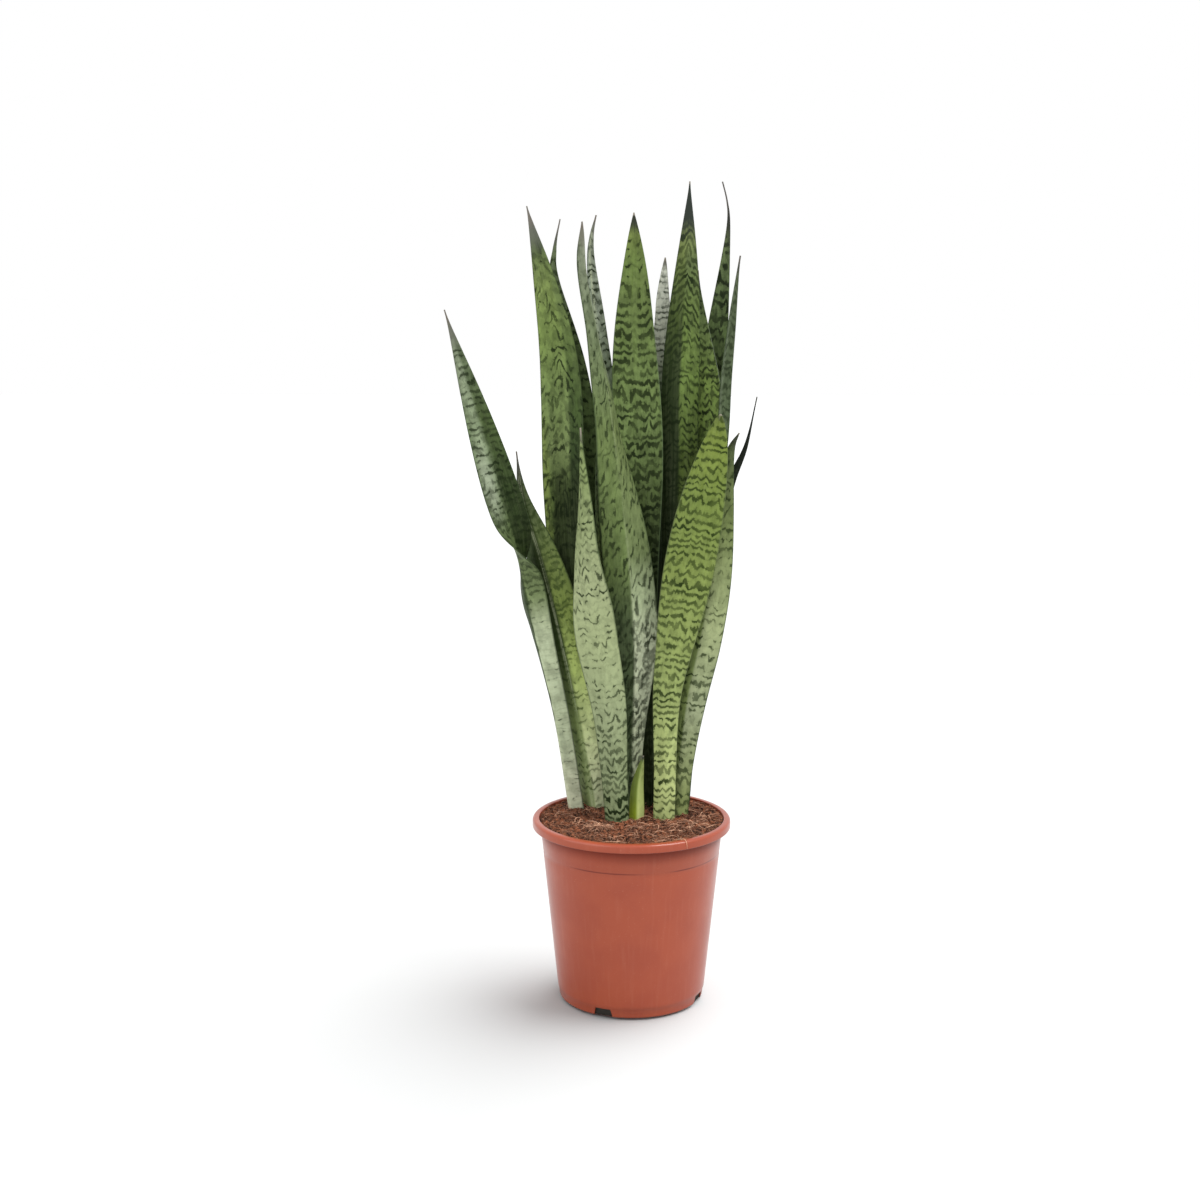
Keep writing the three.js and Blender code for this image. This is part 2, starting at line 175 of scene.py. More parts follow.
def capped_tube(rings: Array) -> tuple[Array, list[Array]]:
    """Closes a stack of rings with a fan over each end.

    Args:
        rings: Points, as rings by points of a ring by 3.

    Returns:
        The vertices, and the faces as an array of quads and an array of triangles.
    """
    count, around = rings.shape[:2]
    vertices = np.concatenate([rings.reshape(-1, 3), rings[[0, -1]].mean(1)])
    turn = np.arange(around)
    after = (turn + 1) % around
    foot = np.stack([after, turn, np.full(around, count * around)], -1)
    base = (count - 1) * around
    head = np.stack([base + turn, base + after, np.full(around, count * around + 1)], -1)
    return vertices, [grid_faces(count, around, True), np.concatenate([foot, head])]


def outward(vertices: Array, faces: list[Array]) -> list[Array]:
    """Turns a closed mesh's faces outwards if they enclose a negative volume.

    Args:
        vertices: Points by 3.
        faces: Arrays of faces, each with one number of corners.

    Returns:
        The faces, all reversed or all as they were.
    """
    volume = 0.0
    for part in faces:
        for k in range(1, part.shape[1] - 1):
            a, b, c = vertices[part[:, 0]], vertices[part[:, k]], vertices[part[:, k + 1]]
            volume += np.einsum("ij,ij->", a, np.cross(b, c))
    return [part[:, ::-1] for part in faces] if volume < 0 else faces


def make_mesh(
    name: str, vertices: Array, faces: list[Array], maps: dict[str, Array] | None = None
) -> bpy.types.Object:
    """Makes a smooth-shaded object at the origin from arrays in millimetres.

    Args:
        name: Name of the object and its mesh.
        vertices: Points by 3, in millimetres.
        faces: Arrays of faces, each with one number of corners.
        maps: For each UV map, its coordinates, one pair for each vertex.

    Returns:
        The object, linked to the scene.
    """
    corners = np.concatenate([part.ravel() for part in faces]).astype(np.int32)
    sizes = np.concatenate([np.full(len(part), part.shape[1]) for part in faces])
    mesh = bpy.data.meshes.new(name)
    mesh.vertices.add(len(vertices))
    mesh.vertices.foreach_set("co", (vertices * MM).astype(np.float32).ravel())
    mesh.loops.add(len(corners))
    mesh.loops.foreach_set("vertex_index", corners)
    mesh.polygons.add(len(sizes))
    starts = np.concatenate([[0], np.cumsum(sizes)[:-1]]).astype(np.int32)
    mesh.polygons.foreach_set("loop_start", starts)
    mesh.update(calc_edges=True)
    for map_name, pairs in (maps or {}).items():
        layer = mesh.uv_layers.new(name=map_name, do_init=False)
        layer.uv.foreach_set("vector", pairs[corners].astype(np.float32).ravel())
    mesh.validate()
    mesh.shade_smooth()
    piece = bpy.data.objects.new(name, mesh)
    bpy.context.scene.collection.objects.link(piece)
    return piece


def join_parts(parts: list[tuple[Array, list[Array]]]) -> tuple[Array, list[Array]]:
    """Joins the vertices and faces of several closed shapes into one mesh.

    Args:
        parts: Vertices and faces of each shape.

    Returns:
        The vertices and faces of them all, with the faces grouped by their corners.
    """
    start = 0
    by_size: dict[int, list[Array]] = {}
    for vertices, faces in parts:
        for part in faces:
            by_size.setdefault(part.shape[1], []).append(part + start)
        start += len(vertices)
    vertices = np.concatenate([vertices for vertices, _ in parts])
    return vertices, [np.concatenate(group) for group in by_size.values()]


def turned(section: Array, sides: int) -> Array:
    """Turns a half section about the upright axis.

    Args:
        section: Radius and height of each point.
        sides: How many points a ring has.

    Returns:
        The rings, as points of the section by sides by 3.
    """
    turn = 2 * np.pi * np.arange(sides) / sides
    radius, height = section[:, :1], section[:, 1:]
    return np.stack([radius * np.cos(turn), radius * np.sin(turn), height + 0 * turn], -1)


# ------------------------------------------------------------------ shader nodes


class Bench:
    """Adds nodes to a node tree and links them, so that a shader reads as a formula."""

    def __init__(self, tree: Tree) -> None:
        """Keeps the tree that the nodes go into."""
        self.tree = tree

    def feed(self, socket: Socket, value: object) -> None:
        """Links a socket to another one, or sets its value."""
        if isinstance(value, Socket):
            self.tree.links.new(value, socket)
        else:
            socket.default_value = value

    def add(self, kind: str, inputs: dict | None = None, **settings: object) -> bpy.types.Node:
        """Adds a node.

        Args:
            kind: The node's type, without its ShaderNode prefix.
            inputs: Values or sockets for its inputs, by their name or number.
            settings: The node's own properties.

        Returns:
            The node.
        """
        node = self.tree.nodes.new(f"ShaderNode{kind}")
        for key, value in settings.items():
            setattr(node, key, value)
        for key, value in (inputs or {}).items():
            self.feed(node.inputs[key], value)
        return node

    def math(self, operation: str, *operands: object, clamp: bool = False) -> Socket:
        """Adds a Math node and gives its result."""
        inputs = dict(enumerate(operands))
        return self.add("Math", inputs, operation=operation, use_clamp=clamp).outputs[0]

    def plus(self, first: object, second: object, clamp: bool = False) -> Socket:
        """Adds two numbers."""
        return self.math("ADD", first, second, clamp=clamp)

    def less(self, first: object, second: object) -> Socket:
        """Takes the second number from the first."""
        return self.math("SUBTRACT", first, second)

    def times(self, first: object, second: object, clamp: bool = False) -> Socket:
        """Multiplies two numbers."""
        return self.math("MULTIPLY", first, second, clamp=clamp)

    def over(self, first: object, second: object) -> Socket:
        """Divides the first number by the second."""
        return self.math("DIVIDE", first, second)

    def line(self, value: object, slope: float, start: float) -> Socket:
        """Gives value * slope + start."""
        return self.plus(self.times(value, slope), start)

    def remap(
        self, value: object, low: float, high: float, start: object = 0.0, end: object = 1.0
    ) -> Socket:
        """Blends smoothly from start at low to end at high."""
        inputs = {"Value": value, "From Min": low, "From Max": high, "To Min": start, "To Max": end}
        return self.add("MapRange", inputs, interpolation_type="SMOOTHSTEP").outputs["Result"]

    def band(self, value: object, rise: Span, fall: Span) -> Socket:
        """Gives 1 between a smooth rise and a smooth fall, and 0 outside them."""
        return self.times(self.remap(value, *rise), self.remap(value, *fall, 1.0, 0.0))

    def mix(self, share: object, first: object, second: object, blend: str = "MIX") -> Socket:
        """Mixes two colours and gives the result."""
        node = self.add("Mix", data_type="RGBA", blend_type=blend)
        self.feed(node.inputs[0], share)
        self.feed(node.inputs[6], first)
        self.feed(node.inputs[7], second)
        return node.outputs[2]

    def stepped(self, position: object, stops: list[tuple[float, tuple]]) -> Socket:
        """Gives a colour that follows a list of stops, each a place and a linear colour."""
        node = self.add("ValToRGB", {0: position})
        elements = node.color_ramp.elements
        for _ in range(len(stops) - len(elements)):
            elements.new(0.5)
        for element, (place, colour) in zip(elements, stops):
            element.position = place
            element.color = colour
        return node.outputs["Color"]

    def ramp(self, position: object, stops: Stops, depth: float = 1.0) -> Socket:
        """Gives a colour that follows a list of stops.

        Args:
            position: Where on the ramp, from 0 to 1.
            stops: Places from 0 to 1, each with its screen colour.
            depth: The material's own colour, as a share of the screen colour.

        Returns:
            The colour socket.
        """
        return self.stepped(position, [(place, linear(colour, depth)) for place, colour in stops])

    def levels(self, position: object, stops: Levels) -> Socket:
        """Gives a number that follows a list of stops, each a place and a value from 0 to 1."""
        return self.stepped(position, [(place, (value, value, value, 1)) for place, value in stops])

    def noise(self, vector: object, scale: float = 1.0, detail: float = 1.0) -> Socket:
        """Gives layered noise of about 0.2 to 0.8."""
        inputs = {"Vector": vector, "Scale": scale, "Detail": detail}
        return self.add("TexNoise", inputs).outputs["Fac"]

    def point(self, x: object, y: object, z: object) -> Socket:
        """Puts three numbers into a vector."""
        return self.add("CombineXYZ", {0: x, 1: y, 2: z}).outputs[0]

    def apart(self, vector: object) -> tuple[Socket, ...]:
        """Gives the three numbers of a vector."""
        return tuple(self.add("SeparateXYZ", {0: vector}).outputs)

    def map(self, name: str) -> Socket:
        """Gives the coordinates of a UV map."""
        return self.add("UVMap", uv_map=name).outputs[0]

    def group(self, tree: Tree, inputs: dict[str, object]) -> Sockets:
        """Places a node group with its own values, and gives its outputs."""
        return self.add("Group", inputs, node_tree=tree).outputs

    def bump(
        self, shader: bpy.types.Node, strength: float, distance: float, height: Socket
    ) -> None:
        """Lets a height bend a shader's normal."""
        inputs = {"Strength": strength, "Distance": distance, "Height": height}
        self.feed(shader.inputs["Normal"], self.add("Bump", inputs).outputs[0])


def new_material(name: str) -> tuple[bpy.types.Material, Bench, bpy.types.Node]:
    """Makes a material, and gives it with a bench for its nodes and its Principled BSDF."""
    material = bpy.data.materials.new(name)
    material.use_nodes = True
    return material, Bench(material.node_tree), material.node_tree.nodes["Principled BSDF"]


def new_group(
    name: str, inputs: dict[str, float], outputs: tuple[str, ...]
) -> tuple[Bench, dict[str, Socket], Sockets]:
    """Makes an empty shader node group whose sockets are all numbers.

    Args:
        name: The group's name.
        inputs: Its inputs, each with its usual value.
        outputs: Its outputs.

    Returns:
        A bench for the group, its inputs by name, and the sockets that its outputs take.
    """
    tree = bpy.data.node_groups.new(name, "ShaderNodeTree")
    for label, value in inputs.items():
        socket = tree.interface.new_socket(label, in_out="INPUT", socket_type="NodeSocketFloat")
        socket.default_value = value
    for label in outputs:
        tree.interface.new_socket(label, in_out="OUTPUT", socket_type="NodeSocketFloat")
    entry = tree.nodes.new("NodeGroupInput")
    leave = tree.nodes.new("NodeGroupOutput")
    return Bench(tree), {label: entry.outputs[label] for label in inputs}, leave.inputs


class Wave(NamedTuple):
    """Noise over a leaf's skin: its size in millimetres, a shift of the seed, and its detail."""

    width: float
    length: float
    shift: float
    detail: float = 1.0

    def noise(self, bench: Bench, given: dict[str, Socket]) -> Socket:
        """Gives the noise, of about 0.2 to 0.8, in a group with Across, Along and Seed."""
        x = bench.over(given["Across"], self.width)
        y = bench.over(given["Along"], self.length)
        place = bench.point(x, y, bench.plus(given["Seed"], self.shift))
        return bench.noise(place, 1.0, self.detail)

    def centred(self, bench: Bench, given: dict[str, Socket]) -> Socket:
        """Gives the noise with 0 as its middle."""
        return bench.less(self.noise(bench, given), 0.5)


@dataclass(frozen=True)
class CrossMarks:
    """Dark cross marks of a leaf: jagged rows, broken into dashes.

    A row is where along + lift * |across| + slant * across + wander - bow is a whole number of
    spacings. The wander is broad, fine and drifting noise. The bow is a parabola that is repeated
    across the leaf, so that a row hangs in shallow bows. The mark is dark within a share of the
    spacing. Noise of each row's own makes it wider, narrower and broken, and each row has its own
    strength. The pairs least, swell_reach, thickness and strength are a slope and a start, and the
    others are where a blend begins and ends.
    """

    broad: Wave = Wave(7, 24, 0.0)
    broad_reach: float = 6.5
    fine: Wave = Wave(3, 11, 7.3)
    fine_reach: float = 1.5
    drift: Wave = Wave(400, 34, 13.7, 2.0)
    drift_reach: float = 3.0
    shuffle: Wave = Wave(30, 40, 31.9, 0.0)
    shuffle_reach: float = 2.0
    dash_width: float = 6.5
    dash_step: float = 7.31
    dash_shift: float = 21.1
    least: Span = (0.34, 0.47)
    least_by_cover: float = 0.5
    gate: Span = (-0.06, 0.07)
    swell: Wave = Wave(3.2, 5, 41.3, 2.0)
    swell_reach: Span = (2.4, 1.05)
    thickness: Span = (0.6, 0.16)
    bow_thinning: float = 0.1
    taper: float = 0.16
    fray: Wave = Wave(1.5, 1.2, 61.9, 2.0)
    fray_reach: float = 0.8
    strength: Span = (0.28, 0.75)
    core: Span = (-0.2, 0.12)
    halo: Span = (-0.7, 0.1)
    halo_strength: float = 0.22
    cloud: Wave = Wave(16, 26, 51.7)
    cloud_span: Span = (-0.18, 0.1)
    cloud_least: float = 0.7

    def group(self) -> Tree:
        """Builds the node group."""
        usual = {"Across": 0, "Along": 0, "Spacing": 9, "Lift": 0, "Slant": 0, "Jag": 2, "Bow": 0}
        usual |= {"Bow Width": 11, "Cover": 0.3, "Breaks": 0.5, "Seed": 0}
        bench, given, leave = new_group("cross marks", usual, ("Mark",))
        across, seed = given["Across"], given["Seed"]
        broad = bench.times(
            self.broad.centred(bench, given), bench.times(given["Jag"], self.broad_reach)
        )
        fine = bench.times(
            self.fine.centred(bench, given), bench.times(given["Jag"], self.fine_reach)
        )
        drift = bench.times(
            self.drift.centred(bench, given), bench.times(given["Spacing"], self.drift_reach)
        )
        parabola = self.parabola(bench, given)
        wander = bench.less(drift, bench.times(parabola, given["Bow"]))
        wander = bench.plus(bench.plus(broad, fine), wander)
        lift = bench.times(bench.math("ABSOLUTE", across), given["Lift"])
        tilt = bench.plus(lift, bench.times(across, given["Slant"]))
        rows = bench.plus(bench.plus(given["Along"], tilt), wander)
        rows = bench.over(rows, given["Spacing"])
        number = bench.math("FLOOR", rows)
        away = bench.less(bench.math("FRACT", rows), 0.5)
        away = bench.times(bench.math("ABSOLUTE", away), 2.0)
        cut = bench.less(self.tapered(bench, given, number, parabola), away)
        cut = bench.plus(cut, bench.times(self.fray.centred(bench, given), self.fray_reach))
        chance = bench.add(
            "TexWhiteNoise", {"W": bench.plus(number, seed)}, noise_dimensions="1D"
        ).outputs["Value"]
        core = bench.times(bench.remap(cut, *self.core), bench.line(chance, *self.strength))
        halo = bench.remap(cut, *self.halo, 0.0, self.halo_strength)
        cloud = bench.remap(
            self.cloud.centred(bench, given), *self.cloud_span, self.cloud_least, 1.0
        )
        bench.feed(leave["Mark"], bench.times(bench.math("MAXIMUM", core, halo), cloud))
        return bench.tree

    def parabola(self, bench: Bench, given: dict[str, Socket]) -> Socket:
        """Gives parabolas from 0 to 1 side by side across the leaf, each one bow wide."""
        shuffle = bench.times(self.shuffle.centred(bench, given), self.shuffle_reach)
        shifted = bench.plus(bench.over(given["Across"], given["Bow Width"]), shuffle)
        cusp = bench.line(bench.math("FRACT", shifted), 2.0, -1.0)
        return bench.times(cusp, cusp)

    def tapered(
        self, bench: Bench, given: dict[str, Socket], number: Socket, parabola: Socket
    ) -> Socket:
        """Gives a row's thickness, tapered to nothing where the row is broken."""
        own = bench.point(
            bench.over(given["Across"], self.dash_width),
            bench.times(number, self.dash_step),
            bench.plus(given["Seed"], self.dash_shift),
        )
        least = bench.less(
            bench.line(given["Breaks"], *self.least),
            bench.times(given["Cover"], self.least_by_cover),
        )
        gate = bench.remap(bench.less(bench.noise(own, 1.0, 1.0), least), *self.gate)
        swell = bench.line(self.swell.centred(bench, given), *self.swell_reach)
        thick = bench.times(bench.line(given["Cover"], *self.thickness), swell)
        thick = bench.less(thick, bench.times(parabola, self.bow_thinning))
        return bench.less(bench.times(bench.plus(thick, self.taper), gate), self.taper)


@dataclass(frozen=True)
class SkinGrain:
    """Skin of a leaf between its marks.

    It gives soft blotches, dark mottles, streaks along the leaf and specks, each as a mask that
    noise raises within a span, and a height of streaks and pits.
    """

    blotch: Wave = Wave(7, 15, 1.1, 3.0)
    blotch_span: Span = (0.35, 0.65)
    mottle: Wave = Wave(5.5, 9, 77.7, 4.0)
    mottle_span: Span = (0.47, 0.6)
    streak: Wave = Wave(1.1, 70, 3.3, 2.0)
    streak_span: Span = (0.3, 0.7)
    speck: Wave = Wave(0.8, 1.4, 5.9, 2.0)
    speck_span: Span = (0.6, 0.72)
    pits: Wave = Wave(0.6, 0.9, 9.7)
    pit_depth: float = 0.35

    def group(self) -> Tree:
        """Builds the node group."""
        outputs = ("Blotch", "Mottle", "Streak", "Speck", "Height")
        bench, given, leave = new_group(
            "skin grain", {"Across": 0, "Along": 0, "Seed": 0}, outputs
        )
        streak = self.streak.noise(bench, given)
        masks = {
            "Blotch": (self.blotch.noise(bench, given), self.blotch_span),
            "Mottle": (self.mottle.noise(bench, given), self.mottle_span),
            "Streak": (streak, self.streak_span),
            "Speck": (self.speck.noise(bench, given), self.speck_span),
        }
        for label, (noise, span) in masks.items():
            bench.feed(leave[label], bench.remap(noise, *span))
        pits = bench.times(self.pits.noise(bench, given), self.pit_depth)
        bench.feed(leave["Height"], bench.plus(streak, pits))
        return bench.tree


# ------------------------------------------------------------------ leaves

ROOT_END_HEIGHT = 168.0
ROOT_THICKNESS = 5.2
TIP_THICKNESS = 1.6
MARGIN_THICKNESS = 1.0
POINT_WIDTH = 1.4
CREASE_SOFTNESS = 0.35
ROW_STEP = 2.6
RING_SIDES = 52
RING_STEPS = (0.55, 0.45)  # shares of even steps and of cosine steps across a ring
ROUND_MARGIN = 10
CURVE_SAMPLES = 1200
SOIL_LEVEL = 198.0
WAVE_LENGTH = 45.0
WAVE_ACROSS = 0.7
WAVE_HEIGHT = 0.012  # the wave of a leaf's margins, as a share of its half width
SEED_STEP = 3.7  # between the seeds of one leaf's marks and the next's

LEAF_DEPTH = 0.66  # a leaf's own colour, as a share of the colour that it shows in full light
MARK_DEPTH = 0.26  # the same for its cross marks
LIFT_CHANGE = (0.6, 0.85)  # shares of the length where the rows' lift turns into the tip's
FINE_MARKS = {"Cover": 0.2, "Breaks": 0.9}
FINE_SPACING = 0.43
FINE_JAG = 0.7
FINE_BOW = 0.5
FINE_SEED = 50.0
SIDE_SOFTNESS = 1.6  # millimetres, where a leaf's two sides meet
PATCH_WANDER = 0.1
PATCH_END_SOFTNESS = 0.05
PALE_COLOUR = (206, 218, 168)
PALE_SHARE = 0.4
# painted glints: pale specks along the midrib ridge, where it catches the light
CREASE_GLINT_COLOUR = (212, 220, 180)
CREASE_GLINT_SPAN = (0.6, 2.4)  # millimetres beside the midrib
CLEAR_WANDER = 20.0
CLEAR_END = (0.06, 0.04)  # shares of the length before and after the clear strip's end
CLEAR_BELOW = -4.0
CLEAR_SOFTNESS = 2.5
CLEAR_LEAST = 0.35
MARGIN_SPAN = (0.9, 0.985)  # shares of the half width
TIP_WANDER = 7.0
TIP_SPAN = (0.7, 1.2)
TIP_SOFTNESS = 6
DRY_SPAN = (0.6, 1.4)
DRY_STRENGTH = 0.9
GLOSS_WANDER = 0.12
SKIN_BUMP = (0.25, 0.0006)  # strength, and metres


def smooth_along(values: tuple[float, ...], share: Array) -> Array:
    """Reads evenly spaced values on a Catmull-Rom curve through them, with clamped ends.

    Args:
        values: The values, evenly spaced from root to tip.
        share: Shares of the way along, from 0 to 1.

    Returns:
        The value at each share.
    """
    table = np.asarray(values, float)
    last = len(table) - 1
    k = np.minimum(np.floor(share * last).astype(int), last - 1)
    s = share * last - k
    a, b, c, d = table[np.maximum(k - 1, 0)], table[k], table[k + 1], table[np.minimum(k + 2, last)]
    return b + 0.5 * s * (c - a + s * (2 * a - 5 * b + 4 * c - d + s * (3 * (b - c) + d - a)))


def curve_through(points: Array, count: int) -> tuple[Array, Array, float]:
    """Samples a Catmull-Rom curve at even steps of its length.

    Its tangent at each point is half the way between that point's neighbours, and the end
    points' neighbours are their own mirror images.

    Args:
        points: Points that the curve runs through, by 3.
        count: How many samples are taken.

    Returns:
        The samples, the curve's unit tangents there, and its length.
    """
    padded = np.concatenate([2 * points[:1] - points[1:2], points, 2 * points[-1:] - points[-2:-1]])
    t = np.linspace(0, len(points) - 1, CURVE_SAMPLES)
    k = np.minimum(t.astype(int), len(points) - 2)
    s = (t - k)[:, None]
    a, b, c, d = (padded[k + i] for i in range(4))
    line = b + 0.5 * s * (c - a + s * (2 * a - 5 * b + 4 * c - d + s * (3 * (b - c) + d - a)))
    reach = np.concatenate([[0], np.cumsum(np.linalg.norm(np.diff(line, axis=0), axis=1))])
    even = np.linspace(0, reach[-1], count)
    samples = np.stack([np.interp(even, reach, line[:, i]) for i in range(3)], -1)
    tangents = np.gradient(samples, axis=0)
    return samples, tangents / np.linalg.norm(tangents, axis=1, keepdims=True), float(reach[-1])


@dataclass(frozen=True)
class Patch:
    """A patch of another colour on a leaf, soft and ragged at its edges.

    across runs from -1 to 1 over the blade, and share from 0 at the root to 1 at the tip.
    """

    # dark patches are painted shade, where the blade's fold and its neighbours shade it
    colour: Colour
    across: Span = (-1.2, 1.2)
    share: Span = (-0.2, 1.2)
    strength: float = 0.85
    soft: float = 0.12


class SkinPlace(NamedTuple):
    """What the painting of a leaf's skin reads."""

    across: Socket  # millimetres beside the midrib
    along: Socket  # millimetres from the root
    side: Socket  # -1 to 1 across the blade
    share: Socket  # 0 to 1 from root to tip
    grain: Sockets  # outputs of the skin grain
    ragged: Socket  # how far blotches push an edge


@dataclass(frozen=True)
class LeafSkin:
    """Colours and marks of one leaf's skin. Shares run from its root to its tip.

    before and after are the ground colours at -1 and +1 across. They meet divide millimetres
    beside the midrib. Besides the leaf's own colour they hold painted shade and painted light: many
    darken towards the root, where the leaves in front shade it, and a side turned from the light is
    painted darker.
    """

    slot: Slot
    before: Stops
    after: Stops | None = None
    marks: Colour = (48, 66, 32)
    mark_strength: float = 0.95
    spacing: float = 10.0
    lift: float = 0.0
    tip_lift: float | None = None
    slant: float = 0.0
    jag: float = 2.0
    bow: float = 3.0
    bow_width: float = 11.0
    clear: float = 0.0
    clear_share: float = 0.7
    fine: float = 0.2
    cover: Levels = ((0.0, 0.3), (1.0, 0.3))
    breaks: float = 0.5
    blotch: float = 0.25
    mottle: Levels = ((0.0, 0.1), (1.0, 0.1))
    divide: float = 0.0
    streak: float = 0.12
    speck: float = 0.1
    margin: Colour = (62, 78, 48)
    margin_strength: float = 0.7
    crease: float = 0.0
    tip: float = 20.0
    tip_colour: Colour = (70, 76, 66)
    dry: float = 8.0
    dry_colour: Colour = (150, 142, 128)
    patches: tuple[Patch, ...] = ()
    roughness: float = 0.42
    shine: float = 0.045

    def material(
        self, name: str, seed: float, length: float, marks: Tree, grain: Tree
    ) -> bpy.types.Material:
        """Builds the leaf's material.

        Args:
            name: The material's name.
            seed: Picks the leaf's own field of marks.
            length: The leaf's length in millimetres.
            marks: The group of cross marks.
            grain: The group of skin grain.

        Returns:
            The material.
        """
        material, bench, shader = new_material(name)
        at = self.place(bench, seed, grain)
        mark_colour = linear(self.marks, MARK_DEPTH)
        colour = self.ground(bench, at)
        colour = self.skin_and_glints(bench, at, colour, mark_colour)
        row, fine = self.rows(bench, at, seed, marks)
        colour = bench.mix(bench.times(fine, self.fine), colour, mark_colour)
        colour = bench.mix(row, colour, mark_colour)
        bench.feed(shader.inputs["Base Color"], self.ends(bench, at, length, colour))
        gloss = bench.line(at.grain["Blotch"], GLOSS_WANDER, self.roughness)
        bench.feed(shader.inputs["Roughness"], gloss)
        shader.inputs["Specular IOR Level"].default_value = self.shine
        bench.bump(shader, *SKIN_BUMP, at.grain["Height"])
        return material

    @staticmethod
    def place(bench: Bench, seed: float, grain: Tree) -> SkinPlace:
        """Reads the leaf's maps and places its grain."""
        scale = {0: bench.map(BLADE_MAP), "Scale": MAP_UNIT}
        scaled = bench.add("VectorMath", scale, operation="SCALE").outputs[0]
        across, along, _ = bench.apart(scaled)
        side, share, _ = bench.apart(bench.map(PLACE_MAP))
        skin = bench.group(grain, {"Across": across, "Along": along, "Seed": seed})
        ragged = bench.times(bench.less(skin["Blotch"], 0.5), PATCH_WANDER)
        return SkinPlace(across, along, bench.line(side, 2.0, -1.0), share, skin, ragged)

    def ground(self, bench: Bench, at: SkinPlace) -> Socket:
        """Paints the leaf's two sides and the patches on them."""
        # the ramps and the dark patches carry painted shade as well as the leaf's own colour
        colour = bench.ramp(at.share, self.before, LEAF_DEPTH)
        if self.after:
            low, high = self.divide - SIDE_SOFTNESS, self.divide + SIDE_SOFTNESS
            after = bench.ramp(at.share, self.after, LEAF_DEPTH)
            colour = bench.mix(bench.remap(at.across, low, high), colour, after)
        for patch in self.patches:
            place = bench.plus(at.side, at.ragged)
            mask = self.window(bench, place, patch.across, patch.soft)
            ends = self.window(bench, at.share, patch.share, PATCH_END_SOFTNESS)
            share = bench.times(bench.times(mask, ends), patch.strength)
            colour = bench.mix(share, colour, linear(patch.colour, LEAF_DEPTH))
        return colour

    @staticmethod
    def window(bench: Bench, place: Socket, span: Span, soft: float) -> Socket:
        """Gives 1 inside a span and 0 outside it, with soft ends."""
        rise, fall = ((end - soft, end + soft) for end in span)
        return bench.band(place, rise, fall)

    def skin_and_glints(self, bench: Bench, at: SkinPlace, colour: Socket, mark_colour: tuple) -> Socket:
        """Paints blotches, mottles, pale streaks and specks, and the pale crease of the midrib."""
        colour = bench.mix(bench.times(at.grain["Blotch"], self.blotch), colour, mark_colour)
        mottle = bench.times(at.grain["Mottle"], bench.levels(at.share, self.mottle))
        colour = bench.mix(mottle, colour, mark_colour)
        pale = bench.mix(PALE_SHARE, colour, linear(PALE_COLOUR, LEAF_DEPTH))
        colour = bench.mix(bench.times(at.grain["Streak"], self.streak), colour, pale)
        colour = bench.mix(bench.times(at.grain["Speck"], self.speck), colour, pale)
        # painted glints: pale specks along the midrib ridge
        if self.crease:
            near = bench.remap(bench.math("ABSOLUTE", at.across), *CREASE_GLINT_SPAN, self.crease, 0.0)
            broken = bench.plus(at.grain["Streak"], at.grain["Speck"])
            broken = bench.times(near, broken, clamp=True)
            colour = bench.mix(broken, colour, linear(CREASE_GLINT_COLOUR, LEAF_DEPTH))
        return colour

    def rows(
        self, bench: Bench, at: SkinPlace, seed: float, marks: Tree
    ) -> tuple[Socket, Socket]:
        """Places the cross marks and the fine marks between them, and gives their masks.

        The cross marks fade along a clear strip on the midrib, from the root to clear_share.
        """
        lift = self.lift
        if self.tip_lift is not None:
            lift = bench.remap(at.share, *LIFT_CHANGE, self.lift, self.tip_lift)
        both = {"Across": at.across, "Along": at.along, "Lift": lift, "Slant": self.slant}
        both["Bow Width"] = self.bow_width
        coarse = {"Spacing": self.spacing, "Jag": self.jag, "Bow": self.bow, "Seed": seed}
        coarse |= {"Cover": bench.levels(at.share, self.cover), "Breaks": self.breaks}
        fine = {"Spacing": self.spacing * FINE_SPACING, "Jag": self.jag * FINE_JAG}
        fine |= {"Bow": self.bow * FINE_BOW, "Seed": seed + FINE_SEED, **FINE_MARKS}
        shown = bench.times(bench.group(marks, both | coarse)["Mark"], self.mark_strength)
        if self.clear:
            wander = bench.plus(at.across, bench.times(at.ragged, CLEAR_WANDER))
            low, high = self.clear_share - CLEAR_END[0], self.clear_share + CLEAR_END[1]
            width = bench.remap(at.share, low, high, CLEAR_BELOW, self.clear)
            strip = bench.less(bench.math("ABSOLUTE", wander), width)
            shown = bench.times(shown, bench.remap(strip, 0.0, CLEAR_SOFTNESS, CLEAR_LEAST, 1.0))
        return shown, bench.group(marks, both | fine)["Mark"]

    def ends(self, bench: Bench, at: SkinPlace, length: float, colour: Socket) -> Socket:
        """Paints the margins, the tip and its dry point."""
        half = bench.math("ABSOLUTE", at.side)
        edge = bench.remap(half, *MARGIN_SPAN, 0.0, self.margin_strength)
        colour = bench.mix(edge, colour, linear(self.margin, LEAF_DEPTH))
        left_over = bench.less(length, at.along)
        ragged_tip = bench.plus(left_over, bench.times(at.grain["Streak"], TIP_WANDER))
        low, high = self.tip * TIP_SPAN[0], self.tip * TIP_SPAN[1] + TIP_SOFTNESS
        tip_share = bench.remap(ragged_tip, low, high, 1.0, 0.0)
        colour = bench.mix(tip_share, colour, linear(self.tip_colour, LEAF_DEPTH))
        low, high = self.dry * DRY_SPAN[0], self.dry * DRY_SPAN[1]
        dry_share = bench.remap(left_over, low, high, DRY_STRENGTH, 0.0)
        return bench.mix(dry_share, colour, linear(self.dry_colour, LEAF_DEPTH))


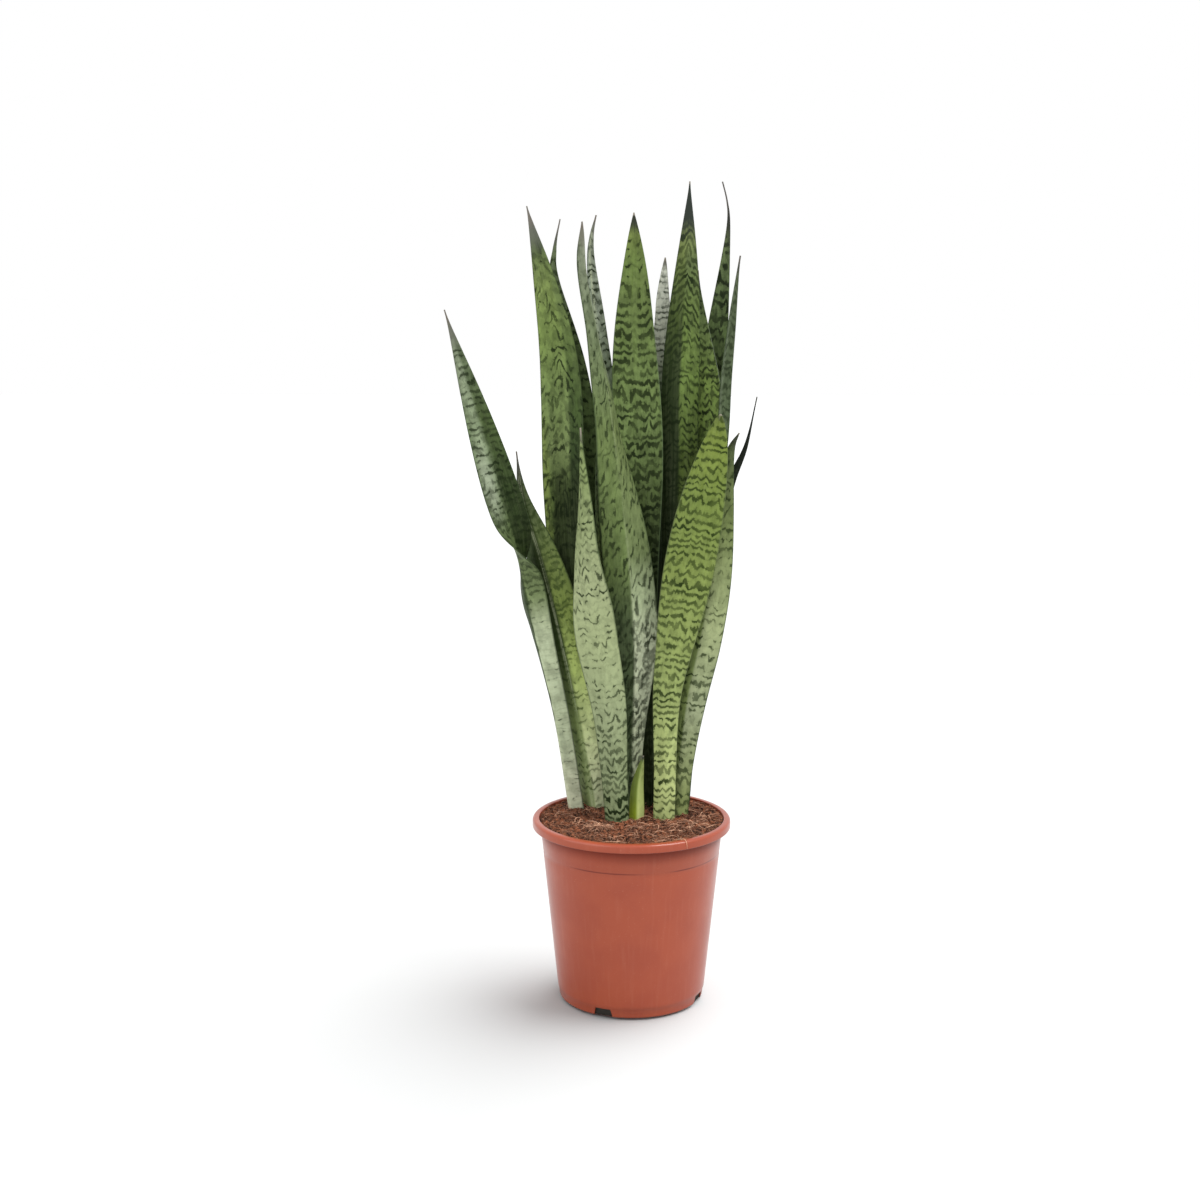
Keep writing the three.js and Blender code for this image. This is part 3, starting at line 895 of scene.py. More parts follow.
@dataclass
class Leaf:
    """A leaf: a blade of varying width, folded into a channel and swept along its midrib.

    root and path give the midrib's points. The blade widens from foot to width until the share
    widest, with rise as the power of its share there, and sharp is the power of its taper to the
    point. faces are headings in degrees and fold depths in half widths, both at even steps of the
    length.
    """

    name: str
    root: tuple[float, float]
    path: tuple[tuple[float, float, float], ...]
    foot: float
    width: float
    widest: float
    rise: float
    sharp: float
    faces: tuple[float, ...]
    fold: tuple[float, ...]
    skin: LeafSkin
    seed: int = 0

    def blade_width(self, share: Array) -> Array:
        """Width: it widens from the foot as a sine squared, then narrows to its point.

        Args:
            share: Shares of the length, from root to tip.

        Returns:
            Widths in millimetres.
        """
        below = np.sin(np.pi / 2 * np.clip(share / self.widest, 0, 1) ** self.rise) ** 2
        to_tip = np.clip((share - self.widest) / (1 - self.widest), 0, 1)
        above = np.hypot(self.width * (1 - to_tip**2) ** self.sharp, POINT_WIDTH)
        return np.where(share < self.widest, self.foot + (self.width - self.foot) * below, above)

    def place_at(self, height: float) -> tuple[float, float]:
        """Where the leaf's lowest stretch passes a height: x and y."""
        low, high = (*self.root, ROOT_END_HEIGHT), self.path[0]
        share = (height - low[2]) / (high[2] - low[2])
        return low[0] + (high[0] - low[0]) * share, low[1] + (high[1] - low[1]) * share

    def surface(self) -> tuple[Array, Array, float]:
        """Works out the leaf's rings.

        Across a ring v runs from -1 to 1 and back. A point stands at midrib + side * v * half width
        + out * (depth * channel(v) +- half thickness(v) + wave(v)), where channel(v) is a soft V,
        the thickness falls from the midrib to rounded margins, and the wave is noise that grows
        towards the margins.

        Returns:
            The rings, v and the share of the length at each point, and the leaf's length.
        """
        points = np.array([(*self.root, ROOT_END_HEIGHT), *self.path], float)
        rough_length = np.linalg.norm(np.diff(points, axis=0), axis=1).sum()
        rows = int(rough_length / ROW_STEP)
        centre, up, length = curve_through(points, rows)
        share = np.linspace(0, 1, rows)
        heading = np.radians(smooth_along(self.faces, share))
        side = np.stack([np.cos(heading), np.sin(heading), 0 * heading], -1)
        side -= up * (side * up).sum(-1, keepdims=True)
        side /= np.linalg.norm(side, axis=1, keepdims=True)
        out = np.cross(side, up)
        turn = 2 * np.pi * (np.arange(RING_SIDES) + 0.5) / RING_SIDES
        even = 1 - 2 * np.abs(turn / np.pi - 1)
        v = RING_STEPS[0] * even + RING_STEPS[1] * -np.cos(turn)
        front = np.where(turn < np.pi, 1.0, -1.0)
        rim = (1 - np.abs(v) ** ROUND_MARGIN) ** (1 / ROUND_MARGIN)
        half = (self.blade_width(share) / 2)[:, None]
        middle = (TIP_THICKNESS + (ROOT_THICKNESS - TIP_THICKNESS) * (1 - share) ** 2)[:, None]
        thick = (MARGIN_THICKNESS + (middle - MARGIN_THICKNESS) * (1 - v**2)) / 2 * rim * front
        soft = CREASE_SOFTNESS
        channel = (np.hypot(v, soft) - soft) / (math.hypot(1, soft) - soft)
        depth = smooth_along(self.fold, share)[:, None] * half
        place = np.broadcast_arrays(share[:, None] * length / WAVE_LENGTH, v * WAVE_ACROSS)
        wave = lattice_noise(np.stack(place, -1), self.seed) * WAVE_HEIGHT * half * np.abs(v) ** 2
        lift = depth * channel + thick + wave
        rings = centre[:, None] + side[:, None] * (v * half)[..., None]
        rings = rings + out[:, None] * lift[..., None]
        return rings, np.stack(np.broadcast_arrays(v, share[:, None]), -1), length

    def build(self, marks: Tree, grain: Tree) -> bpy.types.Object:
        """Builds and dresses the leaf.

        Args:
            marks: The group of cross marks.
            grain: The group of skin grain.

        Returns:
            The leaf's object.
        """
        rings, places, length = self.surface()
        vertices, faces = capped_tube(rings)
        flat = places.reshape(-1, 2)
        flat = np.concatenate([flat, [[0, 0], [0, 1]]])
        half = self.blade_width(flat[:, 1]) / 2
        maps = {
            BLADE_MAP: np.stack([flat[:, 0] * half, flat[:, 1] * length], -1) / MAP_UNIT,
            PLACE_MAP: np.stack([(flat[:, 0] + 1) / 2, flat[:, 1]], -1),
        }
        piece = make_mesh(f"{self.name}_skin", vertices, outward(vertices, faces), maps)
        seed = self.seed * SEED_STEP
        piece.data.materials.append(self.skin.material(self.name, seed, length, marks, grain))
        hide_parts(self.name)
        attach(piece, BODY)
        LOG.info("%s: %d faces, %.0f mm long", piece.name, len(piece.data.polygons), length)
        return piece


LEAVES = (
    Leaf(
        name="leaf_far_left", root=(-61.2, 34),
        path=(
            (-67.2, 33, 210), (-81.2, 29, 300), (-100.2, 25, 385), (-118.2, 21, 465),
            (-137.2, 17, 540), (-158.2, 12, 614), (-180.2, 6, 690), (-194.2, 0, 738),
        ),
        foot=21, width=41, widest=0.6, rise=1.9, sharp=1.28,
        faces=(
            148, 147, 146, 145, 144, 144, 145, 146, 148, 150, 131, 78, 34, 19, 14, 13, 12, 12, 11,
            10, 10,
        ),
        fold=(0.8, 0.8, 0.75, 0.6, 0.3, 0.3, 0.3),
        skin=LeafSkin(
            slot=Slot.GREEN,
            before=(
                (0, (232, 238, 200)), (0.3, (224, 230, 194)), (0.46, (138, 156, 106)),
                (0.6, (92, 110, 66)), (0.69, (98, 117, 76)), (0.78, (124, 142, 104)),
                (0.95, (146, 154, 134)),
            ),
            # painted shade: the after side, turned from the light, is darker up the blade
            after=(
                (0, (96, 112, 66)), (0.45, (58, 76, 38)), (0.58, (48, 63, 30)),
                (0.66, (50, 67, 33)), (0.8, (86, 106, 60)), (0.95, (124, 138, 108)),
            ),
            spacing=7.5, jag=1.3, bow=1.2,
            cover=((0.0, 0.1), (0.4, 0.1), (0.5, 0.36), (0.75, 0.38), (0.92, 0.36), (1.0, 0.3)),
            breaks=0.5, mark_strength=0.85,
            mottle=((0.0, 0.1), (0.46, 0.1), (0.56, 0.6), (0.8, 0.4), (1.0, 0.2)),
            blotch=0.3, fine=0.4, tip=36, tip_colour=(116, 118, 106), dry=14,
            dry_colour=(120, 112, 102),
            patches=(
                Patch(
                    colour=(172, 188, 152), across=(-0.7, 0.0), share=(0.67, 0.95), strength=0.5,
                    soft=0.3,
                ),
                Patch(
                    colour=(214, 222, 200), across=(-0.9, -0.2), share=(0.62, 0.74), strength=0.4,
                    soft=0.3,
                ),
                Patch(
                    colour=(230, 236, 202), across=(-1.3, 1.3), share=(-0.2, 0.22), strength=0.9,
                    soft=0.06,
                ),
                Patch(
                    colour=(206, 218, 180), across=(-1.3, 0.12), share=(0.14, 0.42), strength=0.95,
                    soft=0.08,
                ),
                # painted shade on one side of the petiole
                Patch(
                    colour=(60, 78, 42), across=(0.12, 1.3), share=(0.25, 0.48), strength=0.92,
                    soft=0.08,
                ),
            ),
        ),
    ),
    Leaf(
        name="leaf_left", root=(-38.2, 41),
        path=(
            (-44.2, 40, 215), (-59.2, 40, 300), (-77.2, 39, 387), (-98.5, 38, 474),
            (-117.2, 36, 538), (-123.2, 31, 590),
        ),
        foot=26, width=51, widest=0.54, rise=1, sharp=1.6, faces=(165, 165, 165, 160),
        fold=(0.6, 0.5, 0.5, 0.4),
        skin=LeafSkin(
            slot=Slot.LIME,
            before=(
                (0, (236, 248, 200)), (0.15, (240, 250, 198)), (0.42, (196, 216, 124)),
                (0.6, (146, 166, 84)), (0.85, (96, 110, 72)),
            ),
            # painted shade: the after side, the left half turned from the light, darkens up the
            # blade
            after=(
                (0, (176, 194, 136)), (0.3, (146, 166, 100)), (0.5, (66, 86, 42)),
                (0.82, (44, 58, 28)), (1, (86, 92, 74)),
            ),
            marks=(80, 106, 48), spacing=8, lift=-0.15, jag=1.8,
            cover=((0.0, 0.34), (0.3, 0.27), (0.6, 0.34), (1.0, 0.4)), breaks=0.45,
            mottle=((0.0, 0.1), (0.36, 0.1), (0.5, 0.4), (0.8, 0.5), (1.0, 0.2)),
            divide=-3, mark_strength=0.72, crease=0.45, tip=30, tip_colour=(92, 92, 84), dry=9,
            dry_colour=(120, 112, 102),
        ),
    ),
    Leaf(
        name="leaf_front_left", root=(-13.2, -12),
        path=(
            (-17.2, -13, 240), (-24.2, -14, 325), (-42.2, -15, 420), (-51.2, -11, 480),
            (-52.2, -6, 542), (-54.2, 0, 617),
        ),
        foot=26, width=46, widest=0.55, rise=1.2, sharp=1.3,
        faces=(185, 185, 183, 180, 138, 125, 125), fold=(0.6, 0.5, 0.35, 0.3, 0.3, 0.3),
        skin=LeafSkin(
            slot=Slot.PALE,
            before=(
                (0, (106, 122, 84)), (0.09, (148, 163, 120)), (0.32, (164, 176, 134)),
                (0.5, (174, 186, 138)), (0.65, (178, 189, 142)), (0.88, (144, 161, 104)),
            ),
            marks=(52, 72, 34), spacing=9, lift=-0.25, jag=2.4,
            cover=(
                (0.0, 0.6), (0.12, 0.54), (0.26, 0.4), (0.36, 0.2), (0.5, 0.16), (0.66, 0.2),
                (0.8, 0.3), (1.0, 0.4),
            ),
            breaks=0.45, blotch=0.08,
            mottle=((0.0, 0.3), (0.2, 0.25), (0.35, 0.14), (0.6, 0.2), (0.8, 0.3), (1.0, 0.3)),
            fine=0.12, tip=14, tip_colour=(112, 114, 96),
        ),
    ),
    Leaf(
        name="leaf_tall_left", root=(-31.2, 61),
        path=(
            (-43.2, 60, 250), (-65.2, 57, 420), (-73.2, 56, 540), (-75.2, 56, 640),
            (-81.2, 57, 705), (-95.2, 59, 775), (-112.2, 60, 846),
        ),
        foot=24, width=46, widest=0.66, rise=0.9, sharp=1.15, faces=(0, 0, 0, 5),
        fold=(0.6, 0.45, 0.4, 0.3),
        skin=LeafSkin(
            slot=Slot.GREEN,
            before=(
                (0, (84, 100, 56)), (0.42, (92, 110, 58)), (0.54, (104, 124, 66)),
                (0.62, (148, 168, 106)), (0.7, (148, 171, 104)), (0.8, (140, 163, 90)),
                (0.88, (139, 159, 90)), (0.93, (100, 116, 72)),
            ),
            # painted shade: the after side, the right half shaded by its neighbours, is darker, as
            # is the foot
            after=(
                (0, (52, 66, 34)), (0.5, (48, 62, 32)), (0.62, (64, 84, 44)), (0.7, (90, 112, 60)),
                (0.82, (126, 147, 84)), (0.9, (125, 145, 86)),
            ),
            spacing=13, lift=0.9, tip_lift=1.3, jag=4.4, bow=2.0,
            cover=((0.0, 0.3), (0.5, 0.36), (0.7, 0.36), (0.88, 0.26), (1.0, 0.3)),
            breaks=0.55, fine=0.25,
            mottle=(
                (0.0, 0.3), (0.5, 0.6), (0.64, 0.45), (0.75, 0.25), (0.88, 0.3), (0.94, 0.6),
                (1.0, 0.4),
            ),
            divide=7, tip=44, tip_colour=(106, 110, 98), dry=20, dry_colour=(124, 118, 110),
            patches=(
                Patch(
                    colour=(150, 170, 90), across=(-1.3, -0.7), share=(0.28, 0.66), strength=0.8,
                    soft=0.12,
                ),
                # painted shade over the middle of the blade, where the leaves in front shade it
                Patch(
                    colour=(48, 60, 33), across=(-0.5, 1.1), share=(0.36, 0.58), strength=0.85,
                    soft=0.2,
                ),
            ),
        ),
    ),
    Leaf(
        name="leaf_back_left", root=(-23.2, 76),
        path=(
            (-28.2, 78, 260), (-41.2, 80, 430), (-53.2, 81, 580), (-65.2, 82, 680),
            (-84.2, 84, 768), (-84.2, 85, 802), (-78.2, 87, 834),
        ),
        foot=21, width=37, widest=0.6, rise=1, sharp=1.5, faces=(5, 10, 10, 10),
        fold=(0.6, 0.45, 0.4, 0.4),
        skin=LeafSkin(
            slot=Slot.DARK,
            # painted shade: darker towards the root, where the leaves in front shade it
            before=(
                (0, (48, 62, 34)), (0.5, (70, 88, 50)), (0.7, (112, 134, 80)),
                (0.9, (112, 126, 92)),
            ),
            spacing=10, jag=2, cover=((0.0, 0.3), (1.0, 0.4)), breaks=0.45,
            mottle=((0.0, 0.3), (1.0, 0.3)), tip=30, tip_colour=(104, 104, 96), dry=14,
            dry_colour=(124, 118, 110),
        ),
    ),
    Leaf(
        name="leaf_slim_left", root=(-15.2, 47),
        path=(
            (-16.2, 49, 260), (-21.2, 53, 370), (-31.2, 56, 470), (-34.2, 58, 560),
            (-31.2, 60, 640), (-38.2, 61, 715), (-45.2, 63, 785), (-44.2, 65, 815),
            (-39.2, 66, 837),
        ),
        foot=21, width=29, widest=0.58, rise=1, sharp=1, faces=(30, 40, 48, 20),
        fold=(0.6, 0.45, 0.4, 0.5),
        skin=LeafSkin(
            slot=Slot.PALE,
            # painted shade: darker towards the root, where the leaves in front shade it
            before=(
                (0, (70, 84, 50)), (0.5, (130, 150, 90)), (0.75, (150, 166, 138)),
                (0.95, (152, 160, 144)),
            ),
            after=(
                (0, (60, 74, 42)), (0.5, (116, 136, 86)), (0.7, (152, 170, 136)),
                (0.85, (160, 170, 150)), (0.95, (150, 158, 140)),
            ),
            spacing=8, jag=1.6, cover=((0.0, 0.3), (0.5, 0.34), (0.8, 0.3), (1.0, 0.34)),
            breaks=0.4, crease=0.5, tip=20, tip_colour=(112, 114, 104),
            mottle=((0.0, 0.2), (0.7, 0.3), (1.0, 0.45)), dry_colour=(120, 112, 102),
        ),
    ),
    Leaf(
        name="leaf_winding", root=(0.8, 22),
        path=(
            (0.8, 20, 260), (2.8, 16, 370), (-0.2, 14, 430), (-6.2, 14, 500), (-16.2, 17, 580),
            (-26.2, 24, 650), (-38.2, 32, 715), (-51.2, 38, 785), (-53.2, 41, 829),
        ),
        foot=20, width=55, widest=0.38, rise=1.5, sharp=0.85,
        faces=(185, 185, 185, 183, 180, 187, 199, 219, 236, 241, 252, 239, 200),
        fold=(0.6, 0.5, 0.3, 0.3, 0.3, 0.4, 0.6),
        skin=LeafSkin(
            slot=Slot.PALE,
            # painted light: the silver near the root is raised to make up for the shade of the
            # leaves in front
            before=(
                (0, (200, 216, 174)), (0.1, (232, 244, 200)), (0.22, (236, 246, 208)),
                (0.32, (230, 240, 202)), (0.4, (194, 209, 164)), (0.47, (120, 136, 88)),
                (0.67, (118, 134, 82)), (0.81, (122, 136, 98)), (0.95, (146, 152, 132)),
            ),
            # painted shade: the after side, the left flank turned from the light, is darker
            after=(
                (0, (104, 122, 86)), (0.2, (86, 102, 70)), (0.36, (90, 106, 72)),
                (0.45, (122, 143, 84)), (0.67, (110, 128, 75)), (0.81, (116, 130, 94)),
                (0.95, (128, 136, 114)),
            ),
            spacing=13, slant=1.3, jag=4.0,
            cover=((0.0, 0.5), (0.3, 0.5), (0.42, 0.4), (0.5, 0.36), (0.8, 0.36), (1.0, 0.34)),
            breaks=0.6, mark_strength=0.85, fine=0.35,
            mottle=(
                (0.0, 0.4), (0.1, 0.6), (0.34, 0.6), (0.42, 0.15), (0.6, 0.15), (0.8, 0.25),
                (1.0, 0.4),
            ),
            crease=0.12, tip=24, tip_colour=(120, 120, 106), dry_colour=(120, 112, 102),
        ),
    ),
    Leaf(
        name="leaf_tall_centre", root=(10.8, 48),
        path=(
            (9.8, 49, 300), (5.8, 50, 470), (5.8, 50, 590), (1.8, 51, 700), (1.8, 53, 780),
            (0.8, 56, 839),
        ),
        foot=25, width=55, widest=0.64, rise=1.2, sharp=0.88, faces=(0, 0, 0, 0),
        fold=(0.55, 0.2, 0.14, 0.2),
        skin=LeafSkin(
            slot=Slot.GREEN,
            # painted shade: dark from the root to past the middle, where the leaves in front shade
            # it
            before=(
                (0, (36, 46, 24)), (0.3, (44, 56, 28)), (0.45, (62, 78, 42)), (0.56, (90, 108, 60)),
                (0.68, (124, 146, 86)), (0.78, (122, 144, 82)), (0.86, (110, 129, 72)),
                (0.93, (112, 133, 69)), (0.97, (124, 140, 74)),
            ),
            spacing=11, lift=-0.1, jag=2.4, bow=4.0, bow_width=13.0, marks=(40, 57, 22),
            mark_strength=1.0,
            cover=(
                (0.0, 0.56), (0.5, 0.56), (0.6, 0.54), (0.8, 0.5), (0.88, 0.36), (0.95, 0.2),
                (1.0, 0.16),
            ),
            breaks=0.44, clear=2.0, clear_share=0.76,
            mottle=((0.0, 0.6), (0.5, 0.45), (0.7, 0.25), (0.9, 0.12), (1.0, 0.3)),
            fine=0.3, margin=(96, 114, 80), tip=18, tip_colour=(58, 62, 52), dry=3,
        ),
    ),
    Leaf(
        name="leaf_back_centre", root=(4.8, 80),
        path=((10.8, 84, 300), (23.8, 89, 500), (32.8, 91, 700), (32.8, 93, 752), (34.8, 95, 794)),
        foot=21, width=34, widest=0.6, rise=1, sharp=0.75, faces=(0, -5, -10, -10),
        fold=(0.6, 0.4, 0.3, 0.3),
        skin=LeafSkin(
            slot=Slot.PALE,
            # painted shade: dark up to past the middle, where the leaves in front shade it; painted
            # light: the silver top is raised near white
            before=(
                (0, (36, 46, 28)), (0.6, (50, 66, 38)), (0.76, (118, 138, 98)),
                (0.85, (252, 255, 236)), (0.95, (252, 255, 238)),
            ),
            spacing=6.5, jag=1.0, bow=1.5, cover=((0.0, 0.3), (0.8, 0.34), (1.0, 0.3)), breaks=0.45,
            blotch=0.12, mottle=((0.0, 0.3), (0.8, 0.2), (1.0, 0.45)), marks=(84, 100, 74), tip=10,
            tip_colour=(110, 108, 100), dry=4,
        ),
    ),
    Leaf(
        name="leaf_tallest", root=(27.8, 53),
        path=(
            (35.8, 55, 290), (48.8, 59, 450), (51.8, 61, 560), (51.8, 62, 643), (54.8, 65, 715),
            (57.8, 68, 785), (59.8, 71, 872),
        ),
        foot=22, width=42, widest=0.68, rise=1, sharp=1.15, faces=(185, 185, 190, 190),
        fold=(0.55, 0.35, 0.3, 0.2),
        skin=LeafSkin(
            slot=Slot.GREEN,
            # painted shade: dark towards the root, where the leaves in front shade it
            before=(
                (0, (36, 46, 24)), (0.35, (46, 58, 28)), (0.58, (92, 110, 52)),
                (0.71, (118, 142, 72)), (0.82, (108, 128, 68)), (0.88, (104, 120, 74)),
                (0.93, (140, 154, 92)),
            ),
            # painted shade: the after side, the left half turned from the light, is darker still
            after=(
                (0, (30, 38, 20)), (0.58, (38, 51, 24)), (0.73, (46, 61, 28)), (0.8, (74, 90, 44)),
                (0.87, (100, 116, 62)), (0.93, (140, 154, 92)),
            ),
            spacing=8.5, lift=0.3, tip_lift=1.0, jag=2.2,
            cover=((0.0, 0.34), (0.6, 0.34), (0.8, 0.42), (0.86, 0.6), (1.0, 0.6)),
            breaks=0.4, fine=0.2,
            mottle=((0.0, 0.6), (0.5, 0.6), (0.66, 0.3), (0.82, 0.3), (0.87, 0.1), (1.0, 0.1)),
            divide=2, tip=56, tip_colour=(56, 62, 56), dry=3,
        ),
    ),
    Leaf(
        name="leaf_right_narrow", root=(45.8, 67),
        path=(
            (52.8, 72, 280), (66.8, 78, 450), (78.8, 81, 580), (81.8, 81, 645), (75.8, 82, 706),
            (71.8, 83, 749), (69.8, 84, 780),
        ),
        foot=20, width=30, widest=0.74, rise=1.2, sharp=1.5, faces=(0, 0, 0, 0),
        fold=(0.6, 0.4, 0.3, 0.3),
        skin=LeafSkin(
            slot=Slot.DARK,
            # painted shade: darker towards the root, where the leaves in front shade it
            before=(
                (0, (36, 46, 24)), (0.5, (92, 114, 56)), (0.8, (148, 175, 90)),
                (0.95, (104, 120, 80)),
            ),
            spacing=8, jag=2.4, cover=((0.0, 0.5), (0.5, 0.46), (0.8, 0.4), (1.0, 0.4)), breaks=0.5,
            fine=0.4, mottle=((0.0, 0.7), (0.6, 0.65), (0.85, 0.6), (1.0, 0.3)),
            margin=(170, 182, 158), tip=18, tip_colour=(60, 66, 56),
        ),
    ),
    Leaf(
        name="leaf_back_right", root=(27.8, 76),
        path=(
            (38.8, 81, 280), (61.8, 88, 450), (80.8, 92, 600), (91.8, 95, 710), (99.8, 98, 790),
            (102.8, 100, 832), (100.8, 101, 854), (95.8, 102, 874),
        ),
        foot=20, width=30, widest=0.66, rise=1, sharp=2, faces=(0, 0, -10, -15),
        fold=(0.6, 0.4, 0.4, 0.3),
        skin=LeafSkin(
            slot=Slot.DARK,
            # painted shade: darker towards the root, where the leaves in front shade it
            before=(
                (0, (34, 42, 22)), (0.5, (60, 76, 38)), (0.7, (98, 118, 70)),
                (0.78, (100, 120, 72)), (0.9, (100, 116, 76)),
            ),
            marks=(40, 54, 30), spacing=13, jag=3, bow=4,
            cover=((0.0, 0.4), (0.8, 0.46), (1.0, 0.44)), breaks=0.4, tip=64,
            tip_colour=(56, 58, 52), mottle=((0.0, 0.4), (1.0, 0.35)), dry=30,
            dry_colour=(100, 96, 90),
        ),
    ),
    Leaf(
        name="leaf_right_slender", root=(53.8, 51),
        path=(
            (59.8, 52, 250), (79.8, 55, 430), (91.8, 58, 590), (95.8, 61, 665), (103.8, 65, 730),
            (109.8, 69, 770), (113.8, 71, 795),
        ),
        foot=19, width=25, widest=0.72, rise=1, sharp=1.3, faces=(60, 60, 60, 50),
        fold=(0.5, 0.4, 0.4, 0.5),
        skin=LeafSkin(
            slot=Slot.GREEN,
            # painted shade: darker towards the root, where the leaves in front shade it
            before=(
                (0, (44, 54, 34)), (0.6, (104, 118, 88)), (0.86, (110, 122, 98)),
                (0.95, (116, 128, 100)),
            ),
            after=((0, (40, 50, 30)), (0.7, (88, 104, 74)), (0.95, (92, 104, 78))),
            spacing=9, jag=2.4, mark_strength=0.75, cover=((0.0, 0.3), (1.0, 0.4)), breaks=0.45,
            tip=20, tip_colour=(80, 82, 72), dry=8, mottle=((0.0, 0.3), (1.0, 0.35)),
            dry_colour=(110, 104, 96),
        ),
    ),
    Leaf(
        name="leaf_front_right", root=(34.8, -5),
        path=(
            (35.8, -6, 241), (36.8, -8, 325), (43.8, -9, 380), (56.8, -9, 455), (69.8, -7, 525),
            (84.8, 1, 595), (91.8, 5, 631),
        ),
        foot=24, width=55, widest=0.66, rise=1.85, sharp=0.68, faces=(180, 178, 175, 172),
        fold=(0.6, 0.5, 0.22, 0.2),
        skin=LeafSkin(
            slot=Slot.LIME,
            before=(
                (0, (172, 188, 122)), (0.12, (206, 220, 146)), (0.36, (164, 180, 110)),
                (0.63, (144, 162, 86)), (0.8, (124, 143, 70)), (0.94, (132, 150, 68)),
                (0.98, (116, 132, 62)),
            ),
            marks=(58, 82, 28), spacing=8.8, lift=0.05, jag=1.5, bow=3.2,
            cover=((0.0, 0.4), (0.2, 0.36), (0.5, 0.42), (0.9, 0.38), (1.0, 0.3)),
            mottle=((0.0, 0.1), (0.3, 0.2), (0.7, 0.15), (1.0, 0.12)), breaks=0.3, blotch=0.16,
            margin=(100, 112, 76), tip=4, tip_colour=(110, 116, 84), dry=1.5,
        ),
    ),
    Leaf(
        name="leaf_right", root=(47.3, 11),
        path=(
            (50.8, 11, 250), (59.8, 10, 325), (72.8, 10, 391), (83.8, 11, 455), (91.8, 12, 525),
            (97.8, 13, 570), (103.8, 14, 596), (111.8, 15, 611),
        ),
        foot=25, width=45, widest=0.52, rise=1.1, sharp=0.95, faces=(172, 170, 170, 165),
        fold=(0.6, 0.5, 0.35, 0.3),
        skin=LeafSkin(
            slot=Slot.LIME,
            before=(
                (0, (144, 158, 96)), (0.11, (152, 166, 104)), (0.32, (166, 176, 138)),
                (0.52, (182, 194, 142)), (0.78, (134, 150, 90)), (1, (90, 102, 70)),
            ),
            after=(
                (0, (112, 130, 72)), (0.2, (132, 150, 88)), (0.5, (128, 146, 84)),
                (0.9, (104, 122, 70)),
            ),
            marks=(62, 84, 38), spacing=10, jag=2.4,
            cover=((0.0, 0.5), (0.25, 0.42), (0.45, 0.26), (0.6, 0.2), (1.0, 0.34)),
            breaks=0.45, blotch=0.2, mottle=((0.0, 0.3), (0.3, 0.25), (0.5, 0.1), (1.0, 0.3)),
            tip=18, tip_colour=(70, 74, 60), dry=2,
        ),
    ),
    Leaf(
        name="leaf_far_right", root=(45.8, 34),
        path=(
            (50.8, 35, 270), (63.8, 35, 380), (80.8, 34, 480), (102.8, 31, 554), (119.8, 30, 596),
            (130.8, 28, 648),
        ),
        foot=19, width=26, widest=0.5, rise=1, sharp=1.9, faces=(175, 175, 175, 175),
        fold=(0.5, 0.4, 0.4, 0.3),
        skin=LeafSkin(
            slot=Slot.DARK,
            before=((0, (70, 86, 50)), (0.6, (58, 72, 42)), (0.8, (36, 42, 32))),
            spacing=10, cover=((0.0, 0.3), (1.0, 0.5)), breaks=0.4, margin=(40, 50, 32), tip=90,
            tip_colour=(34, 38, 32), dry=10, dry_colour=(90, 88, 82),
        ),
    ),
    Leaf(
        name="young_shoot", root=(5.8, 0), path=((5.8, 0, 200), (6.8, 1, 232), (12.8, 3, 266)),
        foot=16, width=16.5, widest=0.35, rise=1, sharp=0.9, faces=(180, 180, 185),
        fold=(0.7, 0.8, 0.9),
        skin=LeafSkin(
            slot=Slot.SHOOT,
            before=((0, (216, 226, 150)), (0.5, (206, 222, 136)), (1, (166, 182, 112))),
            after=(
                (0, (172, 186, 62)), (0.35, (158, 178, 48)), (0.55, (130, 150, 60)),
                (1, (104, 122, 60)),
            ),
            marks=(120, 140, 60), mark_strength=0.25, fine=0.0, cover=((0.0, 0.1), (1.0, 0.2)),
            blotch=0.1, mottle=((0.0, 0.0), (1.0, 0.1)), speck=0.05, margin=(150, 168, 70), tip=4,
            dry=1,
        ),
    ),
)


# ------------------------------------------------------------------ pot


